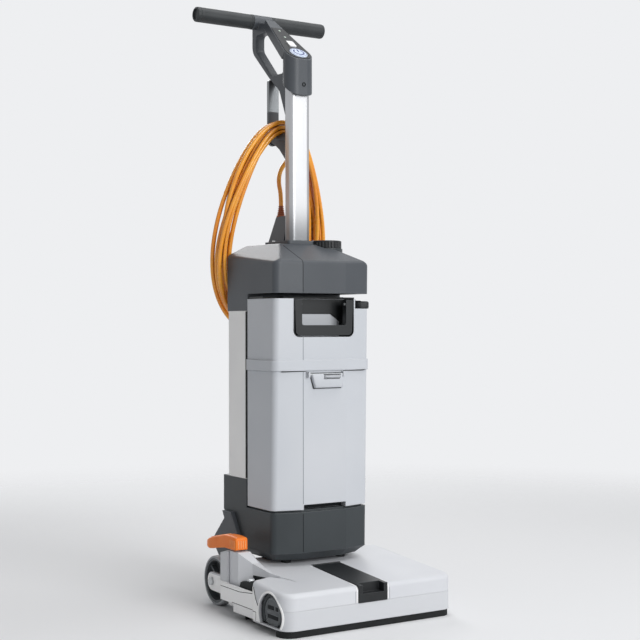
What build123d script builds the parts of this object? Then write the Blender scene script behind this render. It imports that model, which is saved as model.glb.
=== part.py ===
from build123d import *
import math
import os

# Upright floor scrubber. Millimetres, +Z up, front at -Y, floor at Z 0.
# The origin is under the middle of the machine, on the floor.

# Walls and fits
wall = 3.5
thin_wall = 3.0
gap = 0.5
running_fit = 0.08
press_fit = 0.02

# Deck
deck_width = 360.0
deck_length = 254.0
deck_front = -204.0
deck_corner = 25.0
deck_edge = 9.0
deck_front_height = 74.5
deck_slope = 4.5
lip_height = 12.0
lip_thickness = 6.0
lip_length = 32.0
lip_inset = 2.0
band_top = 45.0
band_wall = 5.0
shelf_top = 56.0

# Left shoulder and pedal tower
tower_top = 118.0
tower_inset = 14.0
tower_outer_x = tower_inset - deck_width / 2
tower_front = -17.0
tower_level = 20.0
tower_fall = 8.0
flank_length = 118.0
shoulder_room = 9.0
fender_rear = -96.0
fender_slant = 8.0
fender_lip = 10.0
side_plate_inset = 8.0
side_plate_x = side_plate_inset - deck_width / 2

# Front duct cover
cover_panel_width = 60.0
cover_panel_rear = -48.0
cover_panel_thickness = 4.0
cover_panel_proud = 1.5
cover_pin_inset = 4.5
cover_pin_radius = 1.5
cover_knuckle = 3.2
cover_pin_end = 5.0
finger_slot_width = 45.0
finger_slot_depth = 15.0
finger_slot_reach = 16.0
finger_slot_wall = 2.0

# Brush and its drive
brush_axis_y = -154.0
brush_axis_z = 36.5
brush_radius = 36.0
arch_z = 33.2
arch_radius = 36.8
arch_sill = 14.7
brush_end_room = 11.0
brush_core_radius = 19.0
brush_rows = 12
bristle_thickness = 6.0
knob_radius = 27.0
knob_bar_half = 3.0
knob_hub_radius = 19.0
knob_spigot_radius = 8.0
knob_spigot_length = 28.0
end_plate_thickness = 4.0
left_plate_inset = 10.0
drive_room = 20.0
left_plate_x = left_plate_inset - deck_width / 2
right_plate_x = deck_width / 2 - drive_room
brush_length = right_plate_x - left_plate_x - end_plate_thickness - 2 * brush_end_room
drive_shaft_radius = 8.0
belt_gap = 6.0
belt_x = right_plate_x + belt_gap
belt_width = 7.0
belt_thickness = 2.5
brush_pulley_radius = 21.0
motor_pulley_radius = 12.0
motor_radius = 26.0
motor_room = 8.0
motor_end_room = 18.0
motor_set_back = 36.0
motor_y = deck_front + deck_length - motor_set_back
motor_z = 46.0
motor_shaft_radius = 5.0
tray_bottom = 14.0
tray_thickness = 3.0
tray_front = -26.0
rib_y = -112.0
rib_top = 62.0

# Squeegee
squeegee_left_inset = 18.0
squeegee_right_inset = 24.0
squeegee_left = squeegee_left_inset - deck_width / 2
squeegee_right = deck_width / 2 - squeegee_right_inset
squeegee_y = -48.0
squeegee_depth = 32.0
squeegee_bottom = 12.0
squeegee_height = 18.0
blade_thickness = 4.0
blade_tip = 1.0
link_radius = 3.0
link_inset = 5.0
link_x = squeegee_left + link_inset
link_top = 72.0

# Wheels and axle
wheel_radius = 46.6
wheel_width = 24.0
wheel_outer_x = 148.6
wheel_set_back = 54.0
wheel_y = deck_front + deck_length + wheel_set_back
tyre_thickness = 5.0
hub_web = 5.0
hub_boss_radius = 13.0
axle_radius = 6.0
arm_thickness = 6.0
arm_clearance = 1.0
arm_root_y = -4.0
arm_root_z = 24.0
arm_waist_run = 36.0
arm_waist_z = 28.0
arm_top_z = 104.0
arm_post = 13.0
arm_boss_margin = 8.5
arm_belt_room = 4.0
plate_rear_y = -10.0
bolt_head_radius = 8.5
bolt_head_height = 4.0

# White skin along the left side, from the fender to the wheel arm
beam_inset = 4.0
beam_low = 28.0
beam_top = 60.0
beam_turn = 18.6
beam_lean = 0.538
cheek_front = 15.0
cheek_rear = 43.0
cheek_thickness = 3.0

# Foot pedal
pedal_width = 25.0
pedal_pin_y = 14.0
pedal_pin_z = 128.0
pedal_pin_radius = 3.0
pedal_lug_width = 9.0
pedal_side = 1.0
pedal_front = -11.0
pedal_tip = 115.0
pedal_toe = 24.0
pedal_crown = 22.0
pedal_rise = 27.0
pedal_lift = 3.0
pedal_toe_rise = 14.5
pedal_toe_drop = 7.0
pedal_end_rise = 6.0
pedal_end_drop = 4.0

# Column
column_half = 104.0
facet_half = 47.0
front_y = -49.0
corner_y_low = -34.0
corner_y_high = -43.0
column_rear = 136.0
back_front = 62.0
base_bottom = 97.0
base_bevel = 14.0
base_top = 186.0
seat_inset = 7.0
riser_top = 240.0
riser_rear = 152.0
plate_thickness = 8.0
plate_boss_radius = 17.0
back_top = 556.0
column_round = 12.0
rear_round = 6.0

# Tanks
tank_bottom = 190.0
tank_split = 445.0
tank_top = 578.0
tank_rear = 58.0
slot_depth = 16.0
slot_height = 9.0
slot_margin = 1.0
recess_half = 66.0
recess_bottom = 507.0
recess_depth = 35.0
recess_corner = 12.0
bail_half = 64.0
bail_taper = 2.5
bail_arm = 15.5
bail_bottom = 510.0
bail_bar = 19.0
bail_top = 576.0
bail_thickness = 12.0
bail_pin_z = 568.0
bail_pin_radius = 3.0
latch_half = 35.0
latch_top = 443.0
latch_height = 30.0
latch_thickness = 10.0
latch_pin_radius = 2.0
shoulder_x = recess_half + thin_wall + gap
shoulder_y = 2.0
shoulder_z = 560.0
plug_x = 96.0
plug_y = -26.0
plug_radius = 15.5
plug_height = 14.0
spout_radius = 5.0
inlet_x = -40.0
inlet_y = 12.0
inlet_radius = 22.0
lid_thickness = 4.0

# Top housing
top_bottom = 588.0
eave_front = 643.0
eave_rear = 662.0
roof_top = 683.0
roof_half = 50.0
roof_front = 31.0
roof_rear = 126.0
roof_front_rise = 4.0
roof_round = 8.0
motor_plate_thickness = 3.5
casing_radius = 52.0
casing_height = 30.0
fan_radius = 46.0
fan_height = 14.0
fan_blades = 9
fan_shaft_radius = 6.0
vacuum_radius = 40.0
vacuum_height = 30.0
collar_x = 60.5
collar_y = 41.0
collar_radius = 32.0
collar_bore = 24.0
collar_top = 676.0
collar_bottom = 640.0
cap_radius = 30.0
cap_height = 15.0
cap_grooves = 28
cap_spigot = 12.0
pipe_x = 60.0
pipe_radius = 18.0
pipe_wall = 2.5
pipe_foot = 6.0
pipe_head = 20.0
pump_x = -50.0
pump_radius = 24.0
pump_foot = 10.0
pump_height = 60.0
pump_bracket_half = 16.0
pump_bracket_inset = 6.0
pump_bracket_top = 14.0
bumper_x = 60.0
bumper_y = -8.0
bumper_radius = 9.0
bumper_sink = 4.0
bumper_room = 0.3

# Mast and handle
mast_width = 44.0
mast_depth = 28.0
mast_corner = 9.0
mast_wall = 2.5
mast_y = 48.5
bar_z = 1135.0
bar_rise = 108.0
mast_top = bar_z - bar_rise
foot_height = 7.0
strip_width = 16.0
strip_thickness = 4.5
strip_end = 72.0
strip_top = mast_top - strip_end
fin_half = 8.5
fin_foot_half = 20.0
fin_rear = 125.0
fin_share = 0.2463
spigot_height = 60.0
sleeve_half = 29.0
sleeve_wall = 4.5
sleeve_front = 8.0
sleeve_corner = 20.0
skirt_rise = 29.0
skirt_slope = 0.8
bar_y = 189.5
bar_radius = 10.0
bar_half = 138.0
grip_radius = 14.7
grip_half = 146.0
hub_radius = 15.0
hub_half = 20.5
loop_half = 10.0
loop_wall = 17.0
loop_front = 82.0
loop_low_front = 84.0
loop_low_rear = 129.0
loop_high_front = 139.0
loop_front_drop = 81.0
loop_rear_drop = 57.0
loop_high_drop = 27.0
loop_low_gap = 6.0
handle_rear = 206.0
arm_low_y = mast_y - mast_depth / 2 - sleeve_front
arm_low_rise = 8.0
arm_low_z = mast_top + arm_low_rise
arm_high_y = 151.0
arm_high_drop = 2.0
arm_high_z = bar_z - arm_high_drop
arm_high_half = 10.0
arm_depth = 17.0
panel_thickness = 1.2
panel_margin = 2.0
button_travel = 2.0
button_depth = 4.0
button_proud = 2.0
power_at = 22.0
power_long = 19.0
power_short = 17.0
water_at = 56.5
water_width = 15.5
water_length = 21.5
lens_radius = 2.2
lens_at = 86.0
lens_step = 26.0
panel_end = 12.0

# Cable hook
finger_drop = 123.0
finger_sleeve = 63.0
finger_rise = 56.0
finger_top = bar_z - finger_drop
finger_band = finger_top - finger_sleeve
peg_z = finger_band - finger_rise
fin_height = fin_share * (peg_z - roof_top - foot_height)
peg_radius = 9.0
bracket_half = 8.0
finger_half = 11.0
finger_front = 136.0
finger_thickness = 8.0
spindle_radius = 4.0

# Mains cord
cord_diameter = 8.5
layer_turns = 2.0
climb_turns = 0.5
layers = 4
layer_step = 9.3
top_step = 9.8
bottom_step = 13.0
coil_half_width = 88.0
coil_top = 907.5
coil_bottom = 540.0
coil_waist = 0.27
coil_front_y = 97.5
coil_lean = 0.178
crown_reach = 0.5
flank_reach = 0.36
first_bend = 22.0
gland_y = 109.0
gland_radius = 9.0
gland_length = 22.0
plug_body_length = 44.0
plug_pin_length = 19.0


# Shared shapes
def block(x0, x1, y0, y1, z0, z1):
    return Pos((x0 + x1) / 2, (y0 + y1) / 2, (z0 + z1) / 2) * Box(x1 - x0, y1 - y0, z1 - z0)


def rod_x(x0, x1, y, z, radius):
    return Pos((x0 + x1) / 2, y, z) * Rot(0, 90, 0) * Cylinder(radius, x1 - x0)


def rod_y(x, y0, y1, z, radius):
    return Pos(x, (y0 + y1) / 2, z) * Rot(90, 0, 0) * Cylinder(radius, y1 - y0)


def rod_z(x, y, z0, z1, radius):
    return Pos(x, y, (z0 + z1) / 2) * Cylinder(radius, z1 - z0)


def side_slab(points, x0, x1, radius=0):
    # Outline given as (y, z), carried along X
    outline = [(x0, y, z) for y, z in points]
    line = FilletPolyline(*outline, radius=radius, close=True) if radius else Polyline(*outline, close=True)
    return extrude(make_face(line), x1 - x0, dir=(1, 0, 0))


def plan_slab(points, z0, z1, radius=0):
    # Outline given as (x, y), carried along Z
    outline = [(x, y, z0) for x, y in points]
    line = FilletPolyline(*outline, radius=radius, close=True) if radius else Polyline(*outline, close=True)
    return extrude(make_face(line), z1 - z0, dir=(0, 0, 1))


def save(shape, node):
    export_step(shape, f"parts/{node}.step")


# Deck: cover, chassis and rubber lip
half_deck = deck_width / 2
deck_rear = deck_front + deck_length


def deck_top(y):
    return deck_front_height + (y - deck_front) * math.tan(math.radians(deck_slope))


def deck_plane(drop):
    tilt = math.radians(deck_slope)
    return Plane(origin=(0, deck_front, deck_front_height - drop), z_dir=(0, -math.sin(tilt), math.cos(tilt)))


def deck_plan(inset, z0, z1):
    half = half_deck - inset
    front = deck_front + inset
    rear = deck_rear - inset
    points = [(-half, front, z0), (half, front, z0), (half, rear, z0), (-half, rear, z0)]
    corner = deck_corner - inset
    line = FilletPolyline(*points, radius=[corner, corner, deck_edge, deck_edge], close=True)
    return extrude(make_face(line), z1 - z0, dir=(0, 0, 1))


# Ridge of the left shoulder: x, y and height, from the deck's front up to the tower
# Shares across the flank, along it and up it
ridge_shares = [(0.019, 1.0, 0.0131), (0.2075, 0.805, 0.0623), (0.4906, 0.559, 0.176)]
ridge_shares += [(0.698, 0.212, 0.447), (1, 0, 1)]
shoulder_inner_x = -column_half - shoulder_room


def flank_point(across, along, up):
    y = tower_front - flank_length * along
    x = shoulder_inner_x + (tower_outer_x - shoulder_inner_x) * across
    return x, y, deck_top(y) + (tower_top - deck_top(y)) * up


ridge = [flank_point(*shares) for shares in ridge_shares] + [(tower_outer_x, tower_level, tower_top)]
ridge.append((tower_outer_x, deck_rear - 1, tower_top - tower_fall))


def tower_roof(y):
    # Height of the tower's top, which falls towards the rear
    fall = (y - tower_level) / (deck_rear - 1 - tower_level)
    return tower_top - tower_fall * max(0.0, fall)


def side_notch(grow):
    # Hollow between the shoulder's ridge and the wheel-side edge, behind the left fender
    inner = [(x + grow, y) for x, y, z in ridge[2:5]]
    far = half_deck + deck_edge
    behind = deck_rear + deck_edge
    tip_x, tip_y, tip_z = flank_point(0.283, 0.729, 0)
    tip = (tip_x + grow, tip_y - grow)
    outer = [(inner[-1][0], behind), (-far, behind), (-far, fender_rear - grow)]
    outer.append((fender_lip - half_deck, fender_rear - grow))
    outer.append((flank_point(0.547, 0, 0)[0], fender_rear + fender_slant - grow))
    return plan_slab([tip] + inner + outer, shelf_top - grow, tower_top + deck_edge)


def shoulder(inset):
    # Raised flank that climbs to the pedal tower, as straight strips from station to station
    stations = ridge if inset == 0 else ridge[2:]
    sections = []
    for index, (x, y, z) in enumerate(stations):
        at = y + inset if index == 0 and inset else y
        at = at - inset if index == len(stations) - 1 else at
        top = z - inset
        edge = x + inset if inset else x - gap
        inside = shoulder_inner_x - inset
        flat = max(0.0, z - deck_top(y)) * 0.9
        foot = deck_top(y) - wall - inset
        low = shelf_top - inset if inset else shelf_top + gap
        corners = [(inside, at, low), (edge, at, low), (edge, at, top)]
        corners += [(min(edge + flat, inside - 0.2), at, top), (inside, at, foot)]
        sections.append(make_face(Polyline(*corners, close=True)))
    return loft(sections, ruled=True)


def brush_arch(radius, x0, x1):
    return rod_x(x0, x1, brush_axis_y, brush_axis_z, radius)


def end_arch(x0, x1):
    # Arched opening in the deck's left end, above a low sill
    arch = rod_x(x0, x1, brush_axis_y, arch_z, arch_radius)
    return split(arch, bisect_by=Plane(origin=(0, 0, arch_sill)), keep=Keep.TOP)


beam_outer_x = beam_inset - half_deck
beam_inner_x = side_plate_x - gap
beam_turn_y = deck_rear - beam_turn


def lean_x(x, y):
    # The skin turns in towards the wheel arm behind this point
    return x + (y - beam_turn_y) * beam_lean


def panel_slot(clear):
    half = cover_panel_width / 2 + clear
    return block(-half, half, deck_front - 20, cover_panel_rear + 2 * clear, band_top, deck_top(0) + 20)


cover_pin_y = cover_panel_rear - cover_pin_inset
cover_pin_z = deck_top(cover_pin_y) - cover_panel_thickness / 2 + cover_panel_proud


def deck_cover():
    outer = split(deck_plan(0, band_top, tower_top), bisect_by=deck_plane(0), keep=Keep.BOTTOM)
    outer = fillet(outer.faces().sort_by(Axis.Z)[-1].edges(), deck_edge)
    cavity = split(deck_plan(wall, band_top - 1, tower_top), bisect_by=deck_plane(wall), keep=Keep.BOTTOM)
    shell = outer + shoulder(0) - side_notch(0) - shoulder(wall) - (cavity - side_notch(wall))
    shell -= block(-half_deck - 5, side_plate_x, fender_rear, deck_rear + 5, 0, shelf_top + 1)
    shell -= rod_z(link_x, squeegee_y, band_top, shelf_top + 1, link_radius + 2)
    shell -= end_arch(-half_deck - 5, left_plate_x)
    behind = deck_rear + 5
    beyond = -half_deck - 5
    corner = [(beyond, beam_turn_y), (side_plate_x, beam_turn_y), (lean_x(side_plate_x, behind), behind)]
    shell -= plan_slab(corner + [(beyond, behind)], band_top - 1, shelf_top + 1)
    shell -= panel_slot(gap)
    lug_half = pedal_lug_width / 2
    middle = tower_outer_x + pedal_width / 2 - pedal_side
    lug = [(pedal_pin_y - 12, tower_top - wall), (pedal_pin_y + 12, tower_top - wall)]
    lug += [(pedal_pin_y + 6, pedal_pin_z + 6), (pedal_pin_y - 6, pedal_pin_z + 6)]
    shell += side_slab(lug, middle - lug_half, middle + lug_half)
    shell -= rod_x(middle - pedal_width, middle + pedal_width, pedal_pin_y, pedal_pin_z, pedal_pin_radius)
    return shell + cover_pin()


def chassis_plan(inset, z0, z1):
    half = half_deck - inset
    arm_in = -(wheel_outer_x + arm_clearance) + inset
    side = side_plate_x + inset
    front = deck_front + inset
    rear = deck_rear - inset
    points = [(-half, front), (half, front), (half, rear), (arm_in, rear), (arm_in, arm_root_y - inset)]
    points += [(side, plate_rear_y - inset), (side, fender_rear + 6 - inset), (-half, fender_rear - inset)]
    corner = deck_corner - inset
    line = FilletPolyline(*[(x, y, z0) for x, y in points], close=True,
                          radius=[corner, corner, deck_edge, 1, 1, 1, 1, 1])
    return extrude(make_face(line), z1 - z0, dir=(0, 0, 1))


def wheel_arm(side):
    # Flat arm that holds one end of the axle outside its wheel
    inner = wheel_outer_x + arm_clearance
    x0, x1 = sorted((side * inner, side * (inner + arm_thickness)))
    boss = bolt_head_radius + arm_boss_margin
    low, high = wheel_radius - boss, wheel_radius + boss
    # The right arm starts behind the belt's pulley
    belt_end = motor_y + motor_pulley_radius + belt_thickness + gap + arm_belt_room
    root = arm_root_y if side < 0 else belt_end
    post = deck_rear + arm_post
    outline = [(wheel_y, high), (post, high), (post, arm_top_z), (deck_rear + gap, arm_top_z)]
    outline += [(deck_rear + gap, band_top), (root, band_top), (root, arm_root_z)]
    outline += [(root + arm_waist_run, arm_waist_z), (wheel_y, low)]
    arm = side_slab(outline, x0, x1) + rod_x(x0, x1, wheel_y, wheel_radius, boss)
    return arm - rod_x(x0 - 1, x1 + 1, wheel_y, wheel_radius, axle_radius + press_fit)


def left_skin():
    front = fender_rear + gap
    skin = block(beam_outer_x, beam_inner_x, front, beam_turn_y, beam_low, beam_top)
    skin += block(beam_outer_x, side_plate_x + 1, fender_rear + fender_slant, plate_rear_y, beam_low, band_top)
    near, post = deck_rear + gap, deck_rear + arm_post
    arm_x = -(wheel_outer_x + arm_clearance)
    turn = [(beam_outer_x, beam_turn_y), (lean_x(beam_outer_x, post), post), (arm_x, post), (arm_x, near)]
    turn += [(lean_x(beam_inner_x, near), near), (beam_inner_x, beam_turn_y)]
    skin += plan_slab(turn, beam_low, shelf_top)
    # Cheek that covers the rear half of the tower's side
    inner = tower_outer_x - 2 * gap
    foot, head = shelf_top + 1, tower_roof(cheek_front) - 1
    cheek = [(cheek_front, foot), (cheek_rear, foot), (cheek_rear, tower_roof(cheek_rear) - 1)]
    cheek += [(tower_level, head), (cheek_front, head)]
    skin += side_slab(cheek, inner - cheek_thickness, inner)
    return skin + block(beam_inner_x - gap, inner, cheek_front, cheek_rear, foot, beam_top)


def deck_chassis():
    ring = chassis_plan(0, lip_height, band_top) - chassis_plan(band_wall, lip_height - 1, band_top + 1)
    inner_half = half_deck - band_wall / 2
    front = deck_front + band_wall / 2
    rib_rear = rib_y + end_plate_thickness
    ring += block(-inner_half, right_plate_x + end_plate_thickness, rib_y, rib_rear, lip_height + 4, band_top)
    ring += block(left_plate_x, right_plate_x + end_plate_thickness, rib_y, rib_rear, band_top - 1, rib_top)
    for x in (left_plate_x, right_plate_x):
        plate = block(x, x + end_plate_thickness, front, rib_rear, lip_height + 4, band_top)
        ring += plate & chassis_plan(band_wall / 2, lip_height, band_top)
        arch_top = arch_z + arch_radius + gap
        ring += block(x, x + end_plate_thickness, brush_axis_y - arch_radius, rib_rear, band_top - 1, arch_top)
    ring -= brush_arch(knob_hub_radius + gap, left_plate_x - 1, left_plate_x + end_plate_thickness + 1)
    far = right_plate_x + end_plate_thickness + 1
    ring -= brush_arch(drive_shaft_radius + running_fit, right_plate_x - 1, far)
    ring -= end_arch(-half_deck - 5, left_plate_x)
    tray_left = -(wheel_outer_x + arm_clearance) + band_wall / 2
    tray_top = tray_bottom + tray_thickness
    ring += block(tray_left, inner_half, tray_front, deck_rear - band_wall / 2, tray_bottom, tray_top)
    plate_inner = side_plate_x + band_wall
    plate_top = shelf_top - wall
    ring += block(side_plate_x, plate_inner, fender_rear + fender_slant, plate_rear_y, band_top - 1, plate_top)
    ring += left_skin()
    for side in (-1, 1):
        ring += wheel_arm(side)
    return ring - rod_x(0, belt_x, motor_y, motor_z, motor_shaft_radius + 2)


def front_lip():
    outer = chassis_plan(lip_inset, 0, lip_height)
    inner = chassis_plan(lip_inset + lip_thickness, -1, lip_height + 1)
    keep = block(-half_deck, half_deck, deck_front, deck_front + lip_length, 0, lip_height)
    return (outer - inner) & keep


def duct_cover():
    half = cover_panel_width / 2
    front = deck_front - 2.0
    rise = cover_panel_proud
    skin = cover_panel_thickness
    rear = cover_panel_rear
    top = [(front, band_top + gap), (front, deck_top(front) + rise), (rear, deck_top(rear) + rise)]
    low = [(rear, deck_top(rear) + rise - skin), (front + skin, deck_top(front) + rise - skin)]
    low.append((front + skin, band_top + gap))
    panel = side_slab(top + low, -half, half)
    # Finger pocket over the front edge
    slot_half = finger_slot_width / 2
    slot_wall = finger_slot_wall
    brow = deck_top(front) + rise
    slot_floor = brow - finger_slot_depth
    slot_back = front + finger_slot_reach
    side, back = slot_half + slot_wall, slot_back + slot_wall
    panel += block(-side, side, front, back, slot_floor - slot_wall, brow - 1)
    panel -= block(-slot_half, slot_half, front - 1, slot_back, slot_floor, brow + skin)
    panel += rod_x(-half, half, cover_pin_y, cover_pin_z, cover_knuckle)
    return panel - rod_x(-half - 1, half + 1, cover_pin_y, cover_pin_z, cover_pin_radius + running_fit)


def cover_pin():
    half = cover_panel_width / 2 + cover_pin_end
    return rod_x(-half, half, cover_pin_y, cover_pin_z, cover_pin_radius)


def suction_duct():
    half = cover_panel_width / 2 - 4
    floor = rib_top - 2
    rear = deck_rear - wall - gap
    front = rib_y + end_plate_thickness + gap
    roof = deck_top(cover_pin_y) - cover_panel_thickness - 8
    outer = block(-half, half, front, rear, floor, roof)
    outer -= block(-half + 2, half - 2, front - 1, rear - 2, floor + 2, roof - 2)
    return outer - block(-half + 2, half - 2, front + 10, front + 40, floor - 1, floor + 3)


def rest_bumpers():
    pads = []
    for x in (-bumper_x, bumper_x):
        low = deck_top(bumper_y) - bumper_sink
        pad = rod_z(x, bumper_y, low, base_bottom - bumper_room, bumper_radius)
        pads.append(split(pad, bisect_by=deck_plane(0), keep=Keep.TOP))
    return Compound(children=pads)


# Brush and its drive
def brush_core():
    x0 = left_plate_x + end_plate_thickness + 6
    x1 = right_plate_x - 4
    core = rod_x(x0, x1, brush_axis_y, brush_axis_z, brush_core_radius)
    core -= rod_x(x0 - 1, x0 + knob_spigot_length, brush_axis_y, brush_axis_z, knob_spigot_radius + running_fit)
    return core - rod_x(x1 - 24, x1 + 1, brush_axis_y, brush_axis_z, drive_shaft_radius + press_fit)


def brush_bristles():
    middle = (left_plate_x + end_plate_thickness + right_plate_x) / 2
    x0, x1 = middle - brush_length / 2, middle + brush_length / 2
    roller = Rot(0, 90, 0) * Cylinder(brush_core_radius + 2, brush_length)
    for row in range(brush_rows):
        fin = Box(brush_length, bristle_thickness, brush_radius - brush_core_radius)
        roller += Rot(360 * row / brush_rows, 0, 0) * Pos(0, 0, (brush_radius + brush_core_radius) / 2) * fin
    roller = Pos((x0 + x1) / 2, brush_axis_y, brush_axis_z) * roller
    return roller - rod_x(x0 - 1, x1 + 1, brush_axis_y, brush_axis_z, brush_core_radius)


def drive_hub():
    x0 = right_plate_x - 4 - 22
    hub = rod_x(x0, belt_x + belt_width, brush_axis_y, brush_axis_z, drive_shaft_radius)
    return hub + rod_x(belt_x, belt_x + belt_width, brush_axis_y, brush_axis_z, brush_pulley_radius)


def brush_end_knob():
    # It stands behind the sill, between the band's wall and the end plate
    face = band_wall + gap - half_deck
    back = left_plate_x - gap
    disc = rod_x(face, back, brush_axis_y, brush_axis_z, knob_radius)
    disc = fillet(disc.edges().sort_by(Axis.X)[0], 1.5)
    well = Pos(face, brush_axis_y, brush_axis_z) * Box(2 * (back - face), 1.56 * knob_radius, 0.8 * knob_radius)
    well = fillet(well.edges().filter_by(Axis.X), 0.26 * knob_radius)
    disc -= well
    reach = knob_radius - 1
    disc += block(face + 1, back, brush_axis_y - reach, brush_axis_y + reach,
                  brush_axis_z - knob_bar_half, brush_axis_z + knob_bar_half)
    neck = left_plate_x + end_plate_thickness + 4
    knob = disc + rod_x(back, neck, brush_axis_y, brush_axis_z, knob_hub_radius)
    return knob + rod_x(neck, neck + knob_spigot_length, brush_axis_y, brush_axis_z, knob_spigot_radius)


def brush_motor():
    x0, x1 = cover_panel_width / 2 + motor_room, right_plate_x - motor_end_room
    motor = rod_x(x0, x1, motor_y, motor_z, motor_radius)
    foot = block(x0 + 8, x1 - 8, motor_y - 16, motor_y + 16, tray_bottom + tray_thickness, motor_z)
    shaft = rod_x(x1, belt_x + belt_width, motor_y, motor_z, motor_shaft_radius)
    return motor + foot + shaft


def motor_pulley():
    bore = motor_shaft_radius + running_fit
    pulley = rod_x(belt_x, belt_x + belt_width, motor_y, motor_z, motor_pulley_radius)
    return pulley - rod_x(belt_x - 1, belt_x + belt_width + 1, motor_y, motor_z, bore)


def belt_loop(extra, x0, x1):
    reach = math.hypot(motor_y - brush_axis_y, motor_z - brush_axis_z)
    lean = math.degrees(math.atan2(motor_z - brush_axis_z, motor_y - brush_axis_y))
    big = Circle(brush_pulley_radius + extra)
    small = Pos(reach, 0) * Circle(motor_pulley_radius + extra)
    outline = make_hull(big.edges() + small.edges())
    place = Plane(origin=(x0, brush_axis_y, brush_axis_z), x_dir=(0, 1, 0), z_dir=(1, 0, 0))
    return extrude(place * (Rot(0, 0, lean) * outline), x1 - x0, dir=(1, 0, 0))


def drive_belt():
    x0, x1 = belt_x + 0.5, belt_x + belt_width - 0.5
    return belt_loop(gap + belt_thickness, x0, x1) - belt_loop(gap, x0 - 1, x1 + 1)


# Rear squeegee
def squeegee_holder():
    y0, y1 = squeegee_y - squeegee_depth / 2, squeegee_y + squeegee_depth / 2
    top = squeegee_bottom + squeegee_height
    bar = block(squeegee_left, squeegee_right, y0, y1, squeegee_bottom, top)
    bar -= block(squeegee_left + 8, squeegee_right - 8, y0 + 8, y1 - 8, squeegee_bottom - 1, top - 3)
    mouth_half = cover_panel_width / 2 - 8
    return bar - block(-mouth_half, mouth_half, y0 + 8, y1 - 8, top - 4, top + 1)


def squeegee_blades():
    y0, y1 = squeegee_y - squeegee_depth / 2, squeegee_y + squeegee_depth / 2
    blades = []
    for y in (y0 + 1, y1 - 1 - blade_thickness):
        left, right = squeegee_left + 2, squeegee_right - 2
        blades.append(block(left, right, y, y + blade_thickness, blade_tip, squeegee_bottom))
    return Compound(children=blades)


def lift_link():
    bottom = squeegee_bottom + squeegee_height
    rod = rod_z(link_x, squeegee_y, bottom, link_top, link_radius)
    return rod + rod_x(link_x - 5, link_x + 5, squeegee_y, link_top, link_radius + 2)


# Wheels and axle
def rear_axle():
    reach = wheel_outer_x + arm_clearance + arm_thickness
    return rod_x(-reach, reach, wheel_y, wheel_radius, axle_radius)


def axle_bolts():
    reach = wheel_outer_x + arm_clearance + arm_thickness
    bolts = []
    for x, way in ((-reach - bolt_head_height, 1), (reach, 1)):
        place = Plane(origin=(x, wheel_y, wheel_radius), x_dir=(0, 1, 0), z_dir=(way, 0, 0))
        bolts.append(extrude(place * RegularPolygon(bolt_head_radius, 6), bolt_head_height))
    return Compound(children=bolts)


def wheel_tyre(side):
    x0, x1 = sorted((side * wheel_outer_x, side * (wheel_outer_x - wheel_width)))
    tyre = rod_x(x0, x1, wheel_y, wheel_radius, wheel_radius)
    tyre = fillet(tyre.edges().filter_by(GeomType.CIRCLE), 2.5)
    return tyre - rod_x(x0 - 1, x1 + 1, wheel_y, wheel_radius, wheel_radius - tyre_thickness)


def wheel_hub(side):
    rim = wheel_radius - tyre_thickness
    x0, x1 = sorted((side * (wheel_outer_x - 1), side * (wheel_outer_x - wheel_width + 1)))
    hub = rod_x(x0, x1, wheel_y, wheel_radius, rim)
    outer = side * wheel_outer_x
    floor = side * (wheel_outer_x - wheel_width + 1 + hub_web)
    w0, w1 = sorted((outer, floor))
    hub -= rod_x(w0, w1, wheel_y, wheel_radius, rim - 4)
    hub += rod_x(x0, x1, wheel_y, wheel_radius, hub_boss_radius)
    for spoke in range(5):
        rib = Pos(0, 0, (rim + hub_boss_radius) / 2 - 1) * Box(wheel_width / 2, 4, rim - hub_boss_radius + 1)
        middle = floor + side * wheel_width / 4 - side * 1
        hub += Pos(middle, wheel_y, wheel_radius) * Rot(72 * spoke + 20, 0, 0) * rib
    return hub - rod_x(x0 - 1, x1 + 1, wheel_y, wheel_radius, axle_radius + running_fit)


# Foot pedal
pedal_x0 = tower_outer_x - pedal_side
pedal_x1 = pedal_x0 + pedal_width


def foot_pedal():
    # Block over the pin, then a tongue that droops behind the tower
    toe = pedal_tip - pedal_toe
    level = tower_top + pedal_lift
    crest = tower_top + pedal_rise
    top = [(pedal_front, level), (pedal_front + 2, crest - 1.5), (pedal_pin_y, crest)]
    top += [(pedal_pin_y + pedal_crown, crest - 1), (toe, tower_top + pedal_toe_rise)]
    top += [(pedal_tip, tower_top + pedal_end_rise), (pedal_tip, tower_top - pedal_end_drop)]
    low = [(toe, tower_top - pedal_toe_drop), (deck_rear + arm_post, tower_top - 2), (deck_rear - 1, tower_top)]
    body = side_slab(top + low + [(pedal_pin_y + 20, level)], pedal_x0, pedal_x1)
    toe_radius = pedal_width / 2 - 0.1
    middle = (pedal_x0 + pedal_x1) / 2
    bend = pedal_tip - toe_radius
    plan = [(pedal_x0, pedal_front), (pedal_x1, pedal_front), (pedal_x1, bend), (pedal_x0, bend)]
    rounded = plan_slab(plan, tower_top - 10, tower_top + 40)
    rounded += rod_z(middle, bend, tower_top - 10, tower_top + 40, toe_radius + 0.1)
    body = body & rounded
    lug_half = pedal_lug_width / 2 + gap
    slot = pedal_pin_y - 18, pedal_pin_y + 18
    body -= block(middle - lug_half, middle + lug_half, *slot, tower_top, pedal_pin_z + 8)
    return body - rod_x(pedal_x0 - 1, pedal_x1 + 1, pedal_pin_y, pedal_pin_z, pedal_pin_radius + running_fit)


def pedal_pin():
    return rod_x(pedal_x0 + 1, pedal_x1 - 1, pedal_pin_y, pedal_pin_z, pedal_pin_radius)


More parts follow.
